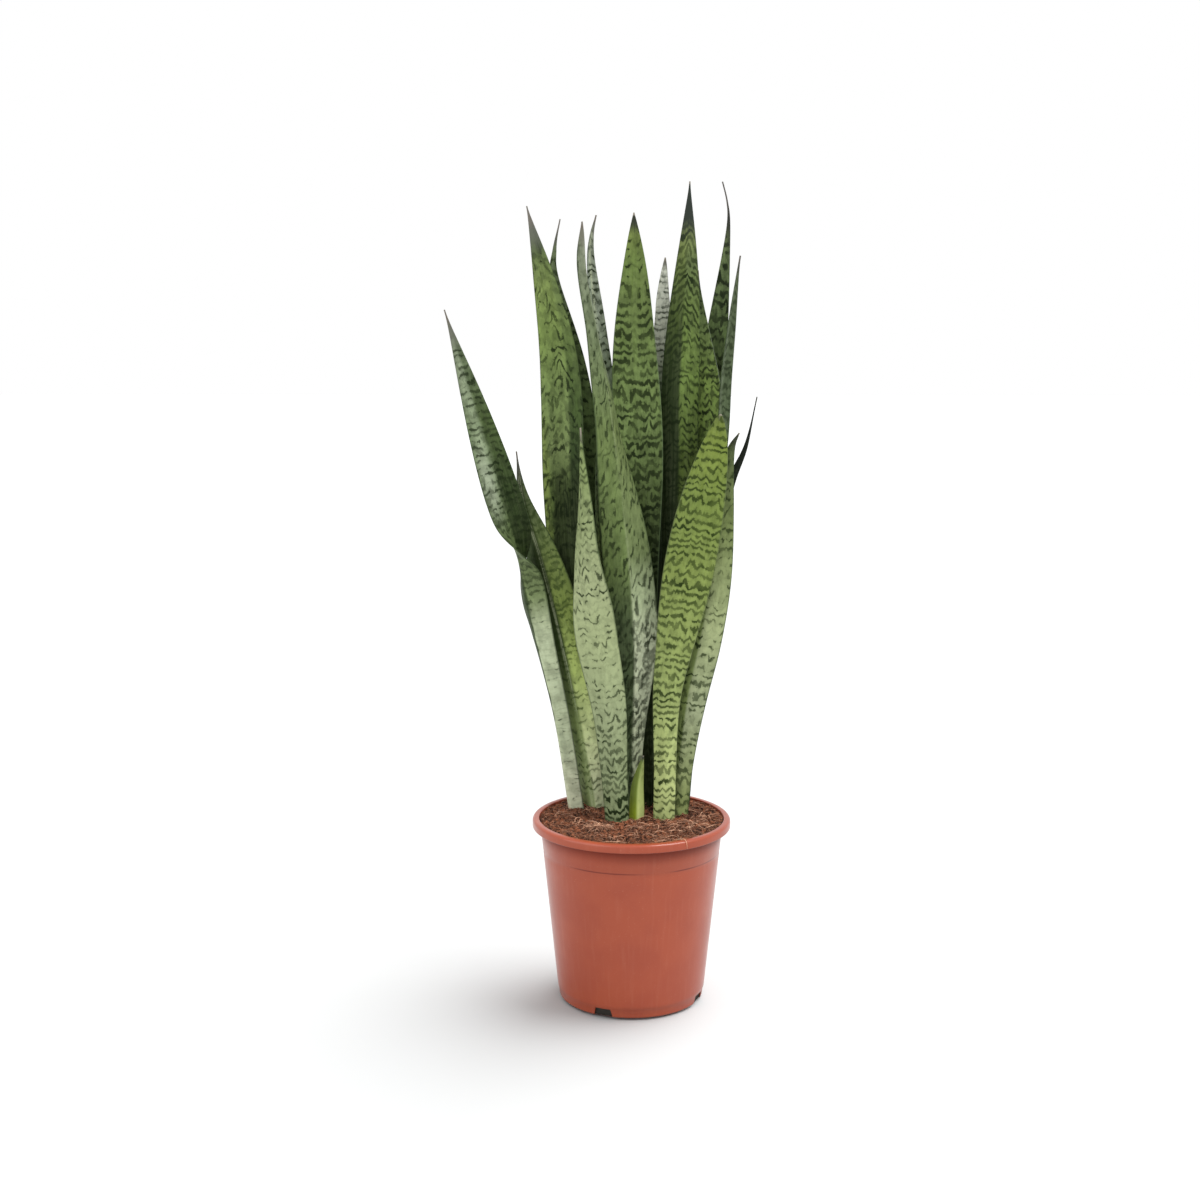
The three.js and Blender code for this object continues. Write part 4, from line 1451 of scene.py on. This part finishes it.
@dataclass
class NurseryPot:
    """A moulded pot: a thin tapered shell with a wider collar, a hanging lip, steps and notches."""

    height: float = 200.0
    rim_radius: float = 106.4
    lip_height: float = 9.5
    lip_wall: float = 3.0
    lip_top: float = 3.4
    lip_taper: float = 0.6
    lip_bevel: float = 0.3
    lip_round: float = 3.3
    collar_radius: float = 99.2
    collar_height: float = 194.5
    base_radius: float = 78.4
    neck_radius: float = 97.8
    wall: float = 2.2
    wall_points: int = 12
    wall_clear: float = 4.0  # between the steps and the wall's first and last point
    floor: float = 2.5
    shoulder_height: float = 165.0
    shoulder_step: float = 0.7
    shoulder_depth: float = 0.6  # share of the step where it starts
    shoulder_ledge: float = 0.8
    foot_band_height: float = 12.0
    foot_band_step: float = 0.5
    foot_band_ledge: float = 0.7
    edge_round: float = 1.2
    foot_round: float = 2.4
    foot_lift: float = 2.0
    foot_ring_inset: float = 8.0
    foot_ring_bevel: float = 0.8
    middle_ring: float = 0.5  # radius of a ring of the underside, as a share of the base's
    arc_points: int = 7
    sharp_angle: float = 35.0
    sides: int = 240
    notches: int = 4
    first_notch: float = -112.0
    notch_width: float = 23.0
    notch_top_width: float = 17.0
    notch_bottom: float = -1.0
    notch_height: float = 11.3
    notch_inner_radius: float = 69.5
    notch_outer_radius: float = 84.0

    def wall_radius(self, z: float) -> float:
        """Outer radius of the tapered wall at a height."""
        share = z / (self.height - self.lip_height)
        return self.base_radius + (self.neck_radius - self.base_radius) * share

    def profile(self) -> Array:
        """Half section, from the underside's middle round to the middle of the floor inside.

        Corners of the moulding are quarter rounds of edge_round, the rim's outer edge is one of
        lip_round, and the foot's is one of foot_round that stands foot_lift above a flat foot ring.

        Returns:
            Radius and height of each point.
        """
        top, lip_bottom = self.height, self.height - self.lip_height
        under = self.height - self.lip_top
        groove = self.rim_radius - self.lip_wall
        low, high = self.foot_band_height, self.shoulder_height
        low_radius, high_radius = self.wall_radius(low), self.wall_radius(high)
        foot = self.base_radius - self.foot_band_step
        ring = foot - self.foot_ring_inset
        edge, lip, sole = self.edge_round, self.lip_round, self.foot_round
        points = [(0.0, 0.0), (self.base_radius * self.middle_ring, 0.0)]
        points += [(ring, 0.0), (ring + self.foot_ring_bevel, self.foot_lift)]
        points += self.arc(foot - sole, self.foot_lift + sole, sole, -90, 0)
        points += [(low_radius - self.foot_band_step, low)]
        points += [(low_radius, low + self.foot_band_ledge)]
        heights = np.linspace(low + self.wall_clear, high - self.wall_clear, self.wall_points)
        points += [(self.wall_radius(z), z) for z in heights]
        points += [(high_radius - self.shoulder_step * self.shoulder_depth, high)]
        points += [(high_radius, high + self.shoulder_ledge), (self.neck_radius, lip_bottom)]
        points += [(self.collar_radius + self.wall, self.collar_height)]
        points += [(self.collar_radius + self.wall, under), (groove, under)]
        points += [(groove - self.lip_taper, lip_bottom + self.lip_bevel)]
        points += self.arc(self.rim_radius - edge, lip_bottom + edge, edge, -90, 0)
        points += self.arc(self.rim_radius - lip, top - lip, lip, 0, 90)
        points += self.arc(self.collar_radius + edge, top - edge, edge, 90, 180)
        points += [(self.collar_radius, self.collar_height)]
        points += [(self.neck_radius - self.wall, lip_bottom)]
        points += [(self.wall_radius(self.floor) - self.wall, self.floor), (0.0, self.floor)]
        return np.array(points)

    def arc(
        self, x: float, z: float, radius: float, start: float, end: float
    ) -> list[tuple[float, float]]:
        """Points of a quarter round about x, z, from one angle in degrees to another."""
        turn = np.radians(np.linspace(start, end, self.arc_points))
        return list(zip((x + radius * np.cos(turn)).tolist(), (z + radius * np.sin(turn)).tolist()))

    def notch_wedge(self, angle: float) -> tuple[Array, list[Array]]:
        """One drain notch's wedge, which stands across the wall at an angle in degrees."""
        wide, narrow = self.notch_width / 2, self.notch_top_width / 2
        x = np.array([-wide, wide, narrow, -narrow])
        z = np.repeat([self.notch_bottom, self.notch_height], 2)
        radii = (self.notch_inner_radius, self.notch_outer_radius)
        rings = np.stack([np.stack([np.full(4, radius), x, z], -1) for radius in radii])
        cos, sin = math.cos(math.radians(angle)), math.sin(math.radians(angle))
        return capped_tube(rings @ np.array([[cos, sin, 0], [-sin, cos, 0], [0, 0, 1]]))

    def build(self) -> bpy.types.Object:
        """Builds the pot, cuts its notches and dresses it."""
        vertices, faces = capped_tube(turned(self.profile()[1:-1], self.sides))
        piece = make_mesh("pot_shell", vertices, outward(vertices, faces))
        step = 360 / self.notches
        wedges = [self.notch_wedge(self.first_notch + step * k) for k in range(self.notches)]
        vertices, faces = join_parts([(v, outward(v, f)) for v, f in wedges])
        cutter = make_mesh("notch_cutter", vertices, faces)
        cut = piece.modifiers.new("notches", "BOOLEAN")
        cut.operation = "DIFFERENCE"
        cut.solver = "EXACT"
        cut.object = cutter
        bpy.context.view_layer.update()
        shown = piece.evaluated_get(bpy.context.evaluated_depsgraph_get())
        mesh = bpy.data.meshes.new_from_object(shown)
        piece.modifiers.clear()
        piece.data = mesh
        bpy.data.objects.remove(cutter)
        mesh.materials.clear()
        mesh.materials.append(PotPlastic().material())
        mesh.set_sharp_from_angle(angle=math.radians(self.sharp_angle))
        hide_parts("pot")
        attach(piece, BODY)
        LOG.info("%s: %d faces", piece.name, len(mesh.polygons))
        return piece


@dataclass(frozen=True)
class PotPlastic:
    """Terracotta-coloured moulded plastic: satin, a little cloudy, with faint drag lines and dust.

    Scales are waves in a metre and heights are metres. The neck below the lip is painted darker, as
    the lip's shade, with less coat there, and a painted shade line, broken by noise, runs along the
    shoulder's step.
    """

    colour: Colour = (146, 64, 38)
    cloud: Colour = (141, 60, 36)
    cloud_scale: float = 22.0
    cloud_span: Span = (0.35, 0.65)
    dust: Colour = (186, 122, 98)
    drag_scale: tuple[float, float, float] = (240.0, 240.0, 9.0)
    drag_span: Span = (0.5, 0.8)
    drag_strength: float = 0.06
    speck_scale: float = 900.0
    speck_span: Span = (0.7, 0.78)
    speck_strength: float = 0.3
    # painted shade under the lip: its colour, the band's rise and fall in metres of height, and
    # strength
    lip_shade: Colour = (98, 24, 6)
    lip_shade_rise: Span = (0.172, 0.191)
    lip_shade_fall: Span = (0.1906, 0.1912)
    lip_shade_strength: float = 0.8
    # painted shade line along the shoulder's step, broken by noise
    line_rise: Span = (0.1642, 0.165)
    line_fall: Span = (0.1654, 0.1664)
    step_shade_scale: float = 14.0
    step_shade_span: Span = (0.42, 0.6)
    peel_scale: float = 600.0
    peel_drag: float = 0.6
    peel_bump: Span = (0.12, 0.0004)  # strength, and metres
    roughness: float = 0.36
    cloud_roughness: float = 0.08
    shine: float = 0.2
    coat: float = 0.5
    coat_roughness: float = 0.14

    def material(self) -> bpy.types.Material:
        """Builds the material on Object coordinates.

        Returns:
            The material.
        """
        material, bench, shader = new_material("pot_plastic")
        place = bench.add("TexCoord").outputs["Object"]
        across, depth, height = bench.apart(place)
        clouds = bench.remap(bench.noise(place, self.cloud_scale, 3.0), *self.cloud_span)
        colour = bench.mix(clouds, linear(self.colour), linear(self.cloud))
        stretched = map(bench.times, (across, depth, height), self.drag_scale)
        lines = bench.noise(bench.point(*stretched), 1.0, 2.0)
        drag = bench.remap(lines, *self.drag_span, 0.0, self.drag_strength)
        colour = bench.mix(drag, colour, linear(self.dust))
        specks = bench.noise(place, self.speck_scale, 1.0)
        specks = bench.remap(specks, *self.speck_span, 0.0, self.speck_strength)
        colour = bench.mix(specks, colour, linear(self.dust))
        # painted shade: a band under the lip, and a broken line along the shoulder's step
        shade = bench.band(height, self.lip_shade_rise, self.lip_shade_fall)
        step_shade = bench.remap(bench.noise(place, self.step_shade_scale, 1.0), *self.step_shade_span)
        step_shade = bench.times(bench.band(height, self.line_rise, self.line_fall), step_shade)
        dark = bench.math("MAXIMUM", bench.times(shade, self.lip_shade_strength), step_shade)
        bench.feed(shader.inputs["Base Color"], bench.mix(dark, colour, linear(self.lip_shade)))
        rough = bench.line(clouds, self.cloud_roughness, self.roughness)
        bench.feed(shader.inputs["Roughness"], rough)
        peel = bench.plus(
            bench.noise(place, self.peel_scale, 2.0), bench.times(lines, self.peel_drag)
        )
        bench.bump(shader, *self.peel_bump, peel)
        shader.inputs["Specular IOR Level"].default_value = self.shine
        # the coat fades where the lip's painted shade falls
        coat = bench.less(self.coat, bench.times(shade, self.coat))
        bench.feed(shader.inputs["Coat Weight"], coat)
        shader.inputs["Coat Roughness"].default_value = self.coat_roughness
        return material


# ------------------------------------------------------------------ soil


def skewed(
    random: np.random.Generator, span: Span, count: int | tuple[int, ...], power: float = 1.0
) -> Array:
    """Random numbers from span[0] to span[0] + span[1], mostly low ones above a power of 1."""
    return span[0] + span[1] * random.random(count) ** power


@dataclass
class Soil:
    """Potting mix: a crumbly top over a plain block, with loose crumbs and fibres.

    Lumps each have a size, a shift of the seed, layers and a height. Mounds each have a place, a
    reach and a rise, and tufts a place, a width, a depth and a number of fibres. Feet are the
    leaves' places and half widths at the soil. A pair of sizes is the least and what is added to it
    at random.
    """

    edge_height: float = 197.6
    hollow: float = 1.6
    spread: float = 70.0
    radius: float = 98.6
    first_radius: float = 0.004  # the innermost ring's, as a share of the radius
    collar_height: float = 194.5
    neck_radius: float = 95.0
    neck_height: float = 190.5
    bottom_radius: float = 75.9
    bottom: float = 3.0
    rings: int = 120
    sides: int = 400
    lumps: tuple[tuple[float, int, int, float], ...] = ((15, 0, 2, 2.0), (4.6, 5, 3, 1.8))
    mounds: tuple[tuple[float, float, float, float], ...] = (
        (26, -44, 13, 2.2), (-40, -42, 11, 2.4), (60, -30, 14, 1.8), (-66, 0, 14, 1.8),
        (-5, -72, 16, -1.6), (50, -62, 12, -1.4), (72, 20, 14, 1.4), (-14, -26, 12, -2.6),
        (-28, -16, 6, -3.0), (34, -20, 10, -1.6),
    )
    rim_calm: float = 0.45
    feet: tuple[tuple[float, float, float], ...] = ()
    heap_start: float = 0.6  # share of a foot's half width where its heap is highest
    heap_rise: float = 0.8
    heap_reach: float = 6.0
    crumbs: int = 2600
    crumb_inset: float = 1.5
    crumb_size: Span = (0.5, 1.5)
    bark: int = 90
    bark_size: Span = (1.6, 1.6)
    corner_reach: Span = (0.6, 0.8)
    crumb_stretch: Span = (0.6, 0.9)
    crumb_rise: float = 0.2
    crumb_bright: float = 1.25
    fibres: int = 1500
    fibre_points: int = 7
    fibre_inset: float = 0.5
    fibre_length: Span = (3, 13)
    fibre_bend: float = 1.1
    fibre_arch: Span = (0.5, 2.4)
    fibre_tilt: float = 0.7
    fibre_follow: Span = (0.35, 0.65)  # of the soil under each point and under the middle
    fibre_rise: float = 0.25
    fibre_width: Span = (0.16, 0.2)
    fibre_taper: float = 0.6
    fibre_shade: Span = (0.0, 0.5)
    tufts: tuple[tuple[float, float, float, float, int], ...] = (
        (-37, -42, 10, 9, 55), (17, -60, 16, 7, 18), (-56, -20, 12, 7, 16), (50, -44, 10, 8, 20),
        (66, -22, 9, 9, 26), (-18, -74, 12, 5, 12), (78, 10, 7, 9, 12), (-76, 22, 7, 9, 8),
        (34, -78, 9, 5, 12), (-60, 62, 9, 7, 8), (5, -34, 9, 5, 16),
    )
    tuft_spread: float = 0.5
    tuft_length: Span = (7, 15)
    tuft_arch: float = 1.2
    tuft_width: float = 0.08
    tuft_shade: Span = (0.2, 0.8)
    foot_tuft: tuple[float, float, float] = (0.5, 1.6, 5)  # in front, width, depth
    foot_fibres: int = 5
    strays: tuple[tuple[tuple[float, float, float], ...], ...] = (
        ((50, -80, 199.5), (53, -85, 200.9), (56, -89.6, 200.5), (57, -90.8, 197),
         (57.5, -91.2, 192)),
        ((-30, -92, 199.4), (-22, -94.5, 200.2), (-12, -96, 200.6), (-4, -97, 200.2)),
        ((74, -48, 199.5), (80, -46, 201.5), (86, -40, 202), (90, -33, 200.6)),
        ((-48, -30, 201), (-41, -36, 204.5), (-35, -43, 204.5), (-31, -51, 200.5)),
        ((-46, -46, 201), (-38, -47, 203), (-31, -44, 202), (-24, -38, 198)),
        ((22, -32, 198.5), (27, -36, 201.5), (29, -44, 201.5), (27, -52, 198)),
        ((3, -22, 198), (10, -30, 201.5), (17, -34, 201), (24, -42, 199)),
    )
    stray_width: float = 0.34
    stray_shade: float = 0.8
    seed: int = 11

    def height(self, x: Array, y: Array) -> Array:
        """Height of the top.

        It is a shallow hollow with bell-shaped mounds, heaps round the leaves' feet and crumbly
        noise, calmer by the rim.

        Args:
            x: Places across.
            y: Places in depth.

        Returns:
            Heights in millimetres.
        """
        away = np.hypot(x, y)
        place = np.stack(np.broadcast_arrays(x, y), -1)
        rough = sum(
            layered_noise(place / size, self.seed + shift, layers) * rise
            for size, shift, layers, rise in self.lumps
        )
        for mound_x, mound_y, reach, rise in self.mounds:
            rough = rough + rise * np.exp(-((x - mound_x) ** 2 + (y - mound_y) ** 2) / reach**2)
        rough = rough * (1 - self.rim_calm * np.clip(away / self.radius, 0, 1) ** 8)
        level = 1.0
        for foot_x, foot_y, half in self.feet:
            past = np.hypot(x - foot_x, y - foot_y) - half * self.heap_start
            level = level * (1 - np.exp(-((np.maximum(past, 0) / self.heap_reach) ** 2)))
        rough = rough + self.heap_rise * (1 - level)
        return self.edge_height - self.hollow * np.exp(-((away / self.spread) ** 2)) + rough

    def block(self) -> bpy.types.Object:
        """The block with its crumbly top."""
        turn = 2 * np.pi * np.arange(self.sides) / self.sides
        radius = self.radius * np.linspace(self.first_radius, 1, self.rings)[:, None]
        x, y = radius * np.cos(turn), radius * np.sin(turn)
        top = np.stack([x, y, self.height(x, y)], -1)
        side = [(self.radius, self.collar_height), (self.neck_radius, self.neck_height)]
        side += [(self.bottom_radius, self.bottom)]
        rings = np.concatenate([top, turned(np.array(side), self.sides)])
        vertices, faces = capped_tube(rings)
        piece = make_mesh("soil_block", vertices, outward(vertices, faces))
        piece.data.materials.append(SoilMix().material())
        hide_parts("soil")
        return piece

    def scatter(self, count: int, random: np.random.Generator) -> tuple[Array, Array]:
        """Random places on the soil, even over its area."""
        radius = (self.radius - self.crumb_inset) * np.sqrt(random.random(count))
        turn = 2 * np.pi * random.random(count)
        return radius * np.cos(turn), radius * np.sin(turn)

    def crumb_field(self, random: np.random.Generator) -> bpy.types.Object:
        """Loose crumbs and bark: six-cornered lumps, each stretched and turned at random."""
        count = self.crumbs
        x, y = self.scatter(count, random)
        size = skewed(random, self.crumb_size, count, 3)
        size[: self.bark] = skewed(random, self.bark_size, self.bark)
        axes = np.eye(3)
        corners = np.concatenate([axes[:2], -axes[:2], axes[2:], -axes[2:]])
        lump = corners * skewed(random, self.corner_reach, (count, 6, 1))
        lump = lump * skewed(random, self.crumb_stretch, (count, 1, 3))
        spin = np.linalg.qr(random.normal(size=(count, 3, 3)))[0]
        lump = np.einsum("nij,nkj->nik", lump, spin) * size[:, None, None]
        centre = np.stack([x, y, self.height(x, y) + size * self.crumb_rise], -1)
        vertices = (lump + centre[:, None]).reshape(-1, 3)
        k = np.arange(4)
        after = (k + 1) % 4
        upper, lower = np.stack([k, after, 4 + 0 * k], -1), np.stack([after, k, 5 + 0 * k], -1)
        cell = np.concatenate([upper, lower])
        mirrored = (np.linalg.det(spin) < 0)[:, None, None]
        faces = np.where(mirrored, cell[None, :, ::-1], cell[None])
        faces = faces + 6 * np.arange(count)[:, None, None]
        piece = make_mesh("soil_crumbs", vertices, [faces.reshape(-1, 3)])
        piece.data.shade_flat()
        piece.data.materials.append(SoilMix(bright=self.crumb_bright).material())
        return piece

    def fibre_lines(self, random: np.random.Generator) -> tuple[Array, Array, Array]:
        """Lines of the fibres: each bends evenly, arches over the soil and tilts along its length.

        Most lie all over the soil. The rest are longer and paler and lie in tufts, one of them in
        front of each leaf's foot. A few strays follow lines of their own.

        Args:
            random: Where the random numbers come from.

        Returns:
            The lines, as fibres by points by 3, and each fibre's half width and shade.
        """
        ahead, wide, deep = self.foot_tuft
        tufts = list(self.tufts)
        for foot_x, foot_y, half in self.feet:
            tufts.append((foot_x, foot_y - half * ahead, half * wide, deep, self.foot_fibres))
        tufts = np.repeat(np.array(tufts)[:, :4], [tuft[4] for tuft in tufts], axis=0)
        loose, count, points = self.fibres, self.fibres + len(tufts), self.fibre_points
        x, y = self.scatter(loose, random)
        spread = random.normal(scale=self.tuft_spread, size=(2, len(tufts)))
        x = np.concatenate([x, tufts[:, 0] + tufts[:, 2] * spread[0]])
        y = np.concatenate([y, tufts[:, 1] + tufts[:, 3] * spread[1]])
        length = skewed(random, self.fibre_length, count, 2)
        length[loose:] = skewed(random, self.tuft_length, len(tufts))
        turn = 2 * np.pi * random.random(count)
        bend = random.normal(scale=self.fibre_bend, size=count)
        along = np.linspace(-0.5, 0.5, points)[None]
        angle = turn[:, None] + bend[:, None] * along
        px = x[:, None] + np.cumsum(np.cos(angle), 1) * (length / points)[:, None]
        py = y[:, None] + np.cumsum(np.sin(angle), 1) * (length / points)[:, None]
        hold = np.minimum(1, (self.radius - self.fibre_inset) / np.hypot(px, py))
        px, py = px * hold, py * hold
        arch = skewed(random, self.fibre_arch, count, 2)
        arch[loose:] += self.tuft_arch
        rise = arch[:, None] * (1 - (2 * along) ** 2)
        rise = rise + random.normal(scale=self.fibre_tilt, size=count)[:, None] * along
        under, middle = self.fibre_follow
        ground = self.height(px, py) * under + self.height(x, y)[:, None] * middle
        line = np.stack([px, py, ground + self.fibre_rise + rise], -1)
        width = skewed(random, self.fibre_width, count, 2)
        width[loose:] += self.tuft_width
        shade = skewed(random, self.fibre_shade, count, 1.3)
        shade[loose:] = skewed(random, self.tuft_shade, len(tufts), 1.5)
        strays = [curve_through(np.array(stray, float), points)[0] for stray in self.strays]
        line = np.concatenate([line, strays])
        width = np.concatenate([width, np.full(len(strays), self.stray_width)])
        return line, width, np.concatenate([shade, np.full(len(strays), self.stray_shade)])

    def fibre_field(self, random: np.random.Generator) -> bpy.types.Object:
        """Coir fibres: thin threads with a three-sided section, swept along their lines."""
        line, width, shade = self.fibre_lines(random)
        count, points = line.shape[:2]
        along = np.abs(np.linspace(-1, 1, points))
        thick = width[:, None, None] * (1 - self.fibre_taper * along)[:, None]
        ahead = np.gradient(line, axis=1)
        ahead /= np.linalg.norm(ahead, axis=2, keepdims=True)
        side = np.cross(ahead, [0, 0, 1.0])
        side /= np.linalg.norm(side, axis=2, keepdims=True) + 1e-9
        up = np.cross(side, ahead)
        turn = 2 * np.pi * np.arange(3) / 3
        ring = side[:, :, None] * np.cos(turn)[:, None] + up[:, :, None] * np.sin(turn)[:, None]
        rings = line[:, :, None] + ring * thick[..., None]
        one, faces = capped_tube(rings[0])
        ends = rings[:, [0, -1]].mean(2)
        vertices = np.concatenate([rings.reshape(count, -1, 3), ends], 1).reshape(-1, 3)
        shift = len(one) * np.arange(count)[:, None, None]
        faces = [(part[None] + shift).reshape(-1, part.shape[1]) for part in faces]
        shades = np.repeat(np.stack([shade, 0.5 + 0 * shade], -1), len(one), axis=0)
        piece = make_mesh("soil_fibres", vertices, outward(vertices, faces), {SHADE_MAP: shades})
        piece.data.materials.append(Coir().material())
        return piece

    def build(self) -> list[bpy.types.Object]:
        """Builds and dresses the soil's three pieces."""
        random = np.random.default_rng(self.seed)
        pieces = [self.block(), self.crumb_field(random), self.fibre_field(random)]
        for piece in pieces:
            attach(piece, BODY)
            LOG.info("%s: %d faces", piece.name, len(piece.data.polygons))
        return pieces


@dataclass(frozen=True)
class SoilMix:
    """Peat and coir: reddish brown, darker in its hollows, with tan and near-black grains.

    Scales are waves in a metre. The darker patches, placed by noise, are painted shade for the gaps
    and pockets between clumps. Low down it turns into the notch_shade colour through
    notch_shade_span,
    which is two heights in metres: painted shade where the pot's drain notches show the block.
    """

    ground: Colour = (132, 79, 53)
    dark: Colour = (36, 17, 9)
    coarse_scale: float = 260.0
    coarse_span: Span = (0.38, 0.62)
    # painted shade: dark noise patches for the gaps and pockets between clumps
    gap_shade_scale: float = 42.0
    gap_shade_span: Span = (0.42, 0.62)
    gap_shade_strength: float = 0.55
    pocket_scale: float = 120.0
    pocket_span: Span = (0.54, 0.66)
    pocket_strength: float = 0.85
    tan: Colour = (190, 140, 106)
    grain_scale: float = 900.0
    grain_span: Span = (0.58, 0.7)
    grain_strength: float = 0.55
    # painted shade: the dark grey that the block's low side shows through the drain notches
    notch_shade: Colour = (62, 60, 54)
    notch_shade_span: Span = (0.03, 0.12)
    bright: float = 1.0
    bump_scale: float = 1400.0
    bump: Span = (0.8, 0.001)  # strength, and metres
    roughness: float = 0.95
    shine: float = 0.2

    def material(self) -> bpy.types.Material:
        """Builds the material on Object coordinates."""
        material, bench, shader = new_material("soil_mix")
        place = bench.add("TexCoord").outputs["Object"]
        dark = linear(self.dark)
        coarse = bench.remap(bench.noise(place, self.coarse_scale, 4.0), *self.coarse_span)
        # painted shade: dark patches by noise, for the gaps and pockets between clumps
        gap_shade = bench.noise(place, self.gap_shade_scale, 2.0)
        gap_shade = bench.remap(gap_shade, *self.gap_shade_span, 0.0, self.gap_shade_strength)
        pocket = bench.noise(place, self.pocket_scale, 2.0)
        pocket = bench.remap(pocket, *self.pocket_span, 0.0, self.pocket_strength)
        colour = bench.mix(coarse, dark, linear(self.ground))
        colour = bench.mix(bench.math("MAXIMUM", gap_shade, pocket), colour, dark)
        grains = bench.remap(bench.noise(place, self.grain_scale, 2.0), *self.grain_span)
        colour = bench.mix(bench.times(grains, self.grain_strength), colour, linear(self.tan))
        if self.bright != 1.0:
            colour = bench.mix(1.0, colour, (*[self.bright] * 3, 1), "MULTIPLY")
        # painted shade: the block turns dark grey low down, where the drain notches show it
        notch_shade = bench.remap(bench.apart(place)[2], *self.notch_shade_span, 1.0, 0.0)
        colour = bench.mix(notch_shade, colour, linear(self.notch_shade))
        bench.feed(shader.inputs["Base Color"], colour)
        shader.inputs["Roughness"].default_value = self.roughness
        shader.inputs["Specular IOR Level"].default_value = self.shine
        bench.bump(shader, *self.bump, bench.noise(place, self.bump_scale, 3.0))
        return material


@dataclass(frozen=True)
class Coir:
    """Coir fibre: tan to reddish brown, changing from thread to thread by the shade map."""

    tan: Colour = (216, 168, 136)
    brown: Colour = (108, 62, 40)
    cloud_scale: float = 130.0
    cloud_span: Span = (0.35, 0.65)
    cloud_reach: float = 0.2
    roughness: float = 0.8

    def material(self) -> bpy.types.Material:
        """Builds the material on Object coordinates and the shade map."""
        material, bench, shader = new_material("coir_fibre")
        cloud = bench.noise(bench.add("TexCoord").outputs["Object"], self.cloud_scale, 3.0)
        cloud = bench.remap(cloud, *self.cloud_span, -self.cloud_reach, self.cloud_reach)
        share = bench.plus(bench.apart(bench.map(SHADE_MAP))[0], cloud, clamp=True)
        colour = bench.mix(share, linear(self.brown), linear(self.tan))
        bench.feed(shader.inputs["Base Color"], colour)
        shader.inputs["Roughness"].default_value = self.roughness
        return material


# ------------------------------------------------------------------ studio


@dataclass(frozen=True)
class Sun:
    """A soft distant light: where it comes from, its angle across in degrees, and its strength."""

    name: str
    source: tuple[float, float, float]
    spread: float
    power: float

    def build(self, floor: bpy.types.Object, state: str) -> bpy.types.Object:
        """Adds the light and makes it reach only the floor, or all but the floor.

        Args:
            floor: The floor.
            state: INCLUDE for the floor alone, EXCLUDE for all but the floor.

        Returns:
            The light's object.
        """
        lamp = bpy.data.lights.new(self.name, "SUN")
        lamp.angle = math.radians(self.spread)
        lamp.energy = self.power
        light = bpy.data.objects.new(self.name, lamp)
        light.rotation_euler = Vector(self.source).to_track_quat("Z", "Y").to_euler()
        bpy.context.scene.collection.objects.link(light)
        receivers = bpy.data.collections.new(f"{self.name} receivers")
        receivers.objects.link(floor)
        receivers.collection_objects[0].light_linking.link_state = state
        light.light_linking.receiver_collection = receivers
        return light


@dataclass
class Studio:
    """A plain pale floor, soft light from all round and from the upper right, and the camera."""

    camera_place: tuple[float, float, float] = (0.0, -1.8, 0.728)
    pitch: float = 0.161
    yaw: float = 0.018765
    focal_pixels: float = 1726.6
    frame_pixels: float = 1200.0
    sensor: float = 36.0
    floor_size: float = 30.0
    floor_colour: Colour = (189, 190, 190)
    floor_roughness: float = 0.9
    sky: float = 1.0
    key: Sun = Sun("key", (1.0, -0.5, 1.6), 34.0, 3.0)
    fill: Sun = Sun("fill", (-1.0, -0.7, 0.5), 60.0, 1.3)
    floor_key: Sun = Sun("floor_key", (1.0, 0.5, 1.5), 70.0, 4.8)

    def floor(self) -> bpy.types.Object:
        """Lays the floor."""
        half = self.floor_size / 2 / MM
        corners = half * np.array([(-1, -1, 0), (1, -1, 0), (1, 1, 0), (-1, 1, 0)], float)
        piece = make_mesh("floor", corners, [np.array([[0, 1, 2, 3]])])
        material, _, shader = new_material("floor")
        shader.inputs["Base Color"].default_value = linear(self.floor_colour)
        shader.inputs["Roughness"].default_value = self.floor_roughness
        shader.inputs["Specular IOR Level"].default_value = 0.0
        piece.data.materials.append(material)
        return piece

    def lights(self, floor: bpy.types.Object) -> None:
        """Sets a white world, a key and a fill on the plant, and a farther key on the floor."""
        world = bpy.data.worlds.new("studio")
        world.use_nodes = True
        background = world.node_tree.nodes["Background"]
        background.inputs["Color"].default_value = (1, 1, 1, 1)
        background.inputs["Strength"].default_value = self.sky
        bpy.context.scene.world = world
        self.key.build(floor, "EXCLUDE")
        self.fill.build(floor, "EXCLUDE")
        self.floor_key.build(floor, "INCLUDE")

    def camera(self) -> None:
        """Sets the camera: level with the upper leaves, tilted down and turned a little left."""
        data = bpy.data.cameras.new("camera")
        data.sensor_width = self.sensor
        data.lens = self.focal_pixels / self.frame_pixels * self.sensor
        data.clip_end = self.floor_size * 2
        camera = bpy.data.objects.new("camera", data)
        camera.matrix_world = (
            Matrix.Translation(self.camera_place)
            @ Matrix.Rotation(self.yaw, 4, "Z")
            @ Matrix.Rotation(math.pi / 2 - self.pitch, 4, "X")
        )
        bpy.context.scene.collection.objects.link(camera)
        bpy.context.scene.camera = camera

    def build(self) -> None:
        """Sets up the studio with plain tone mapping, so that white stays white."""
        self.lights(self.floor())
        self.camera()
        bpy.context.scene.view_settings.view_transform = "Standard"


# ------------------------------------------------------------------ the whole plant


def main() -> None:
    """Builds the plant, its pot and its soil round the frame."""
    logging.basicConfig(level=logging.INFO, format="%(message)s")
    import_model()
    Studio().build()
    NurseryPot().build()
    feet = tuple((*leaf.place_at(SOIL_LEVEL), leaf.foot / 2) for leaf in LEAVES)
    Soil(feet=feet).build()
    marks, grain = CrossMarks().group(), SkinGrain().group()
    for number, leaf in enumerate(LEAVES, start=1):
        leaf.seed = number
        leaf.build(marks, grain)
    bpy.context.view_layer.update()


if __name__ == "__main__":
    main()
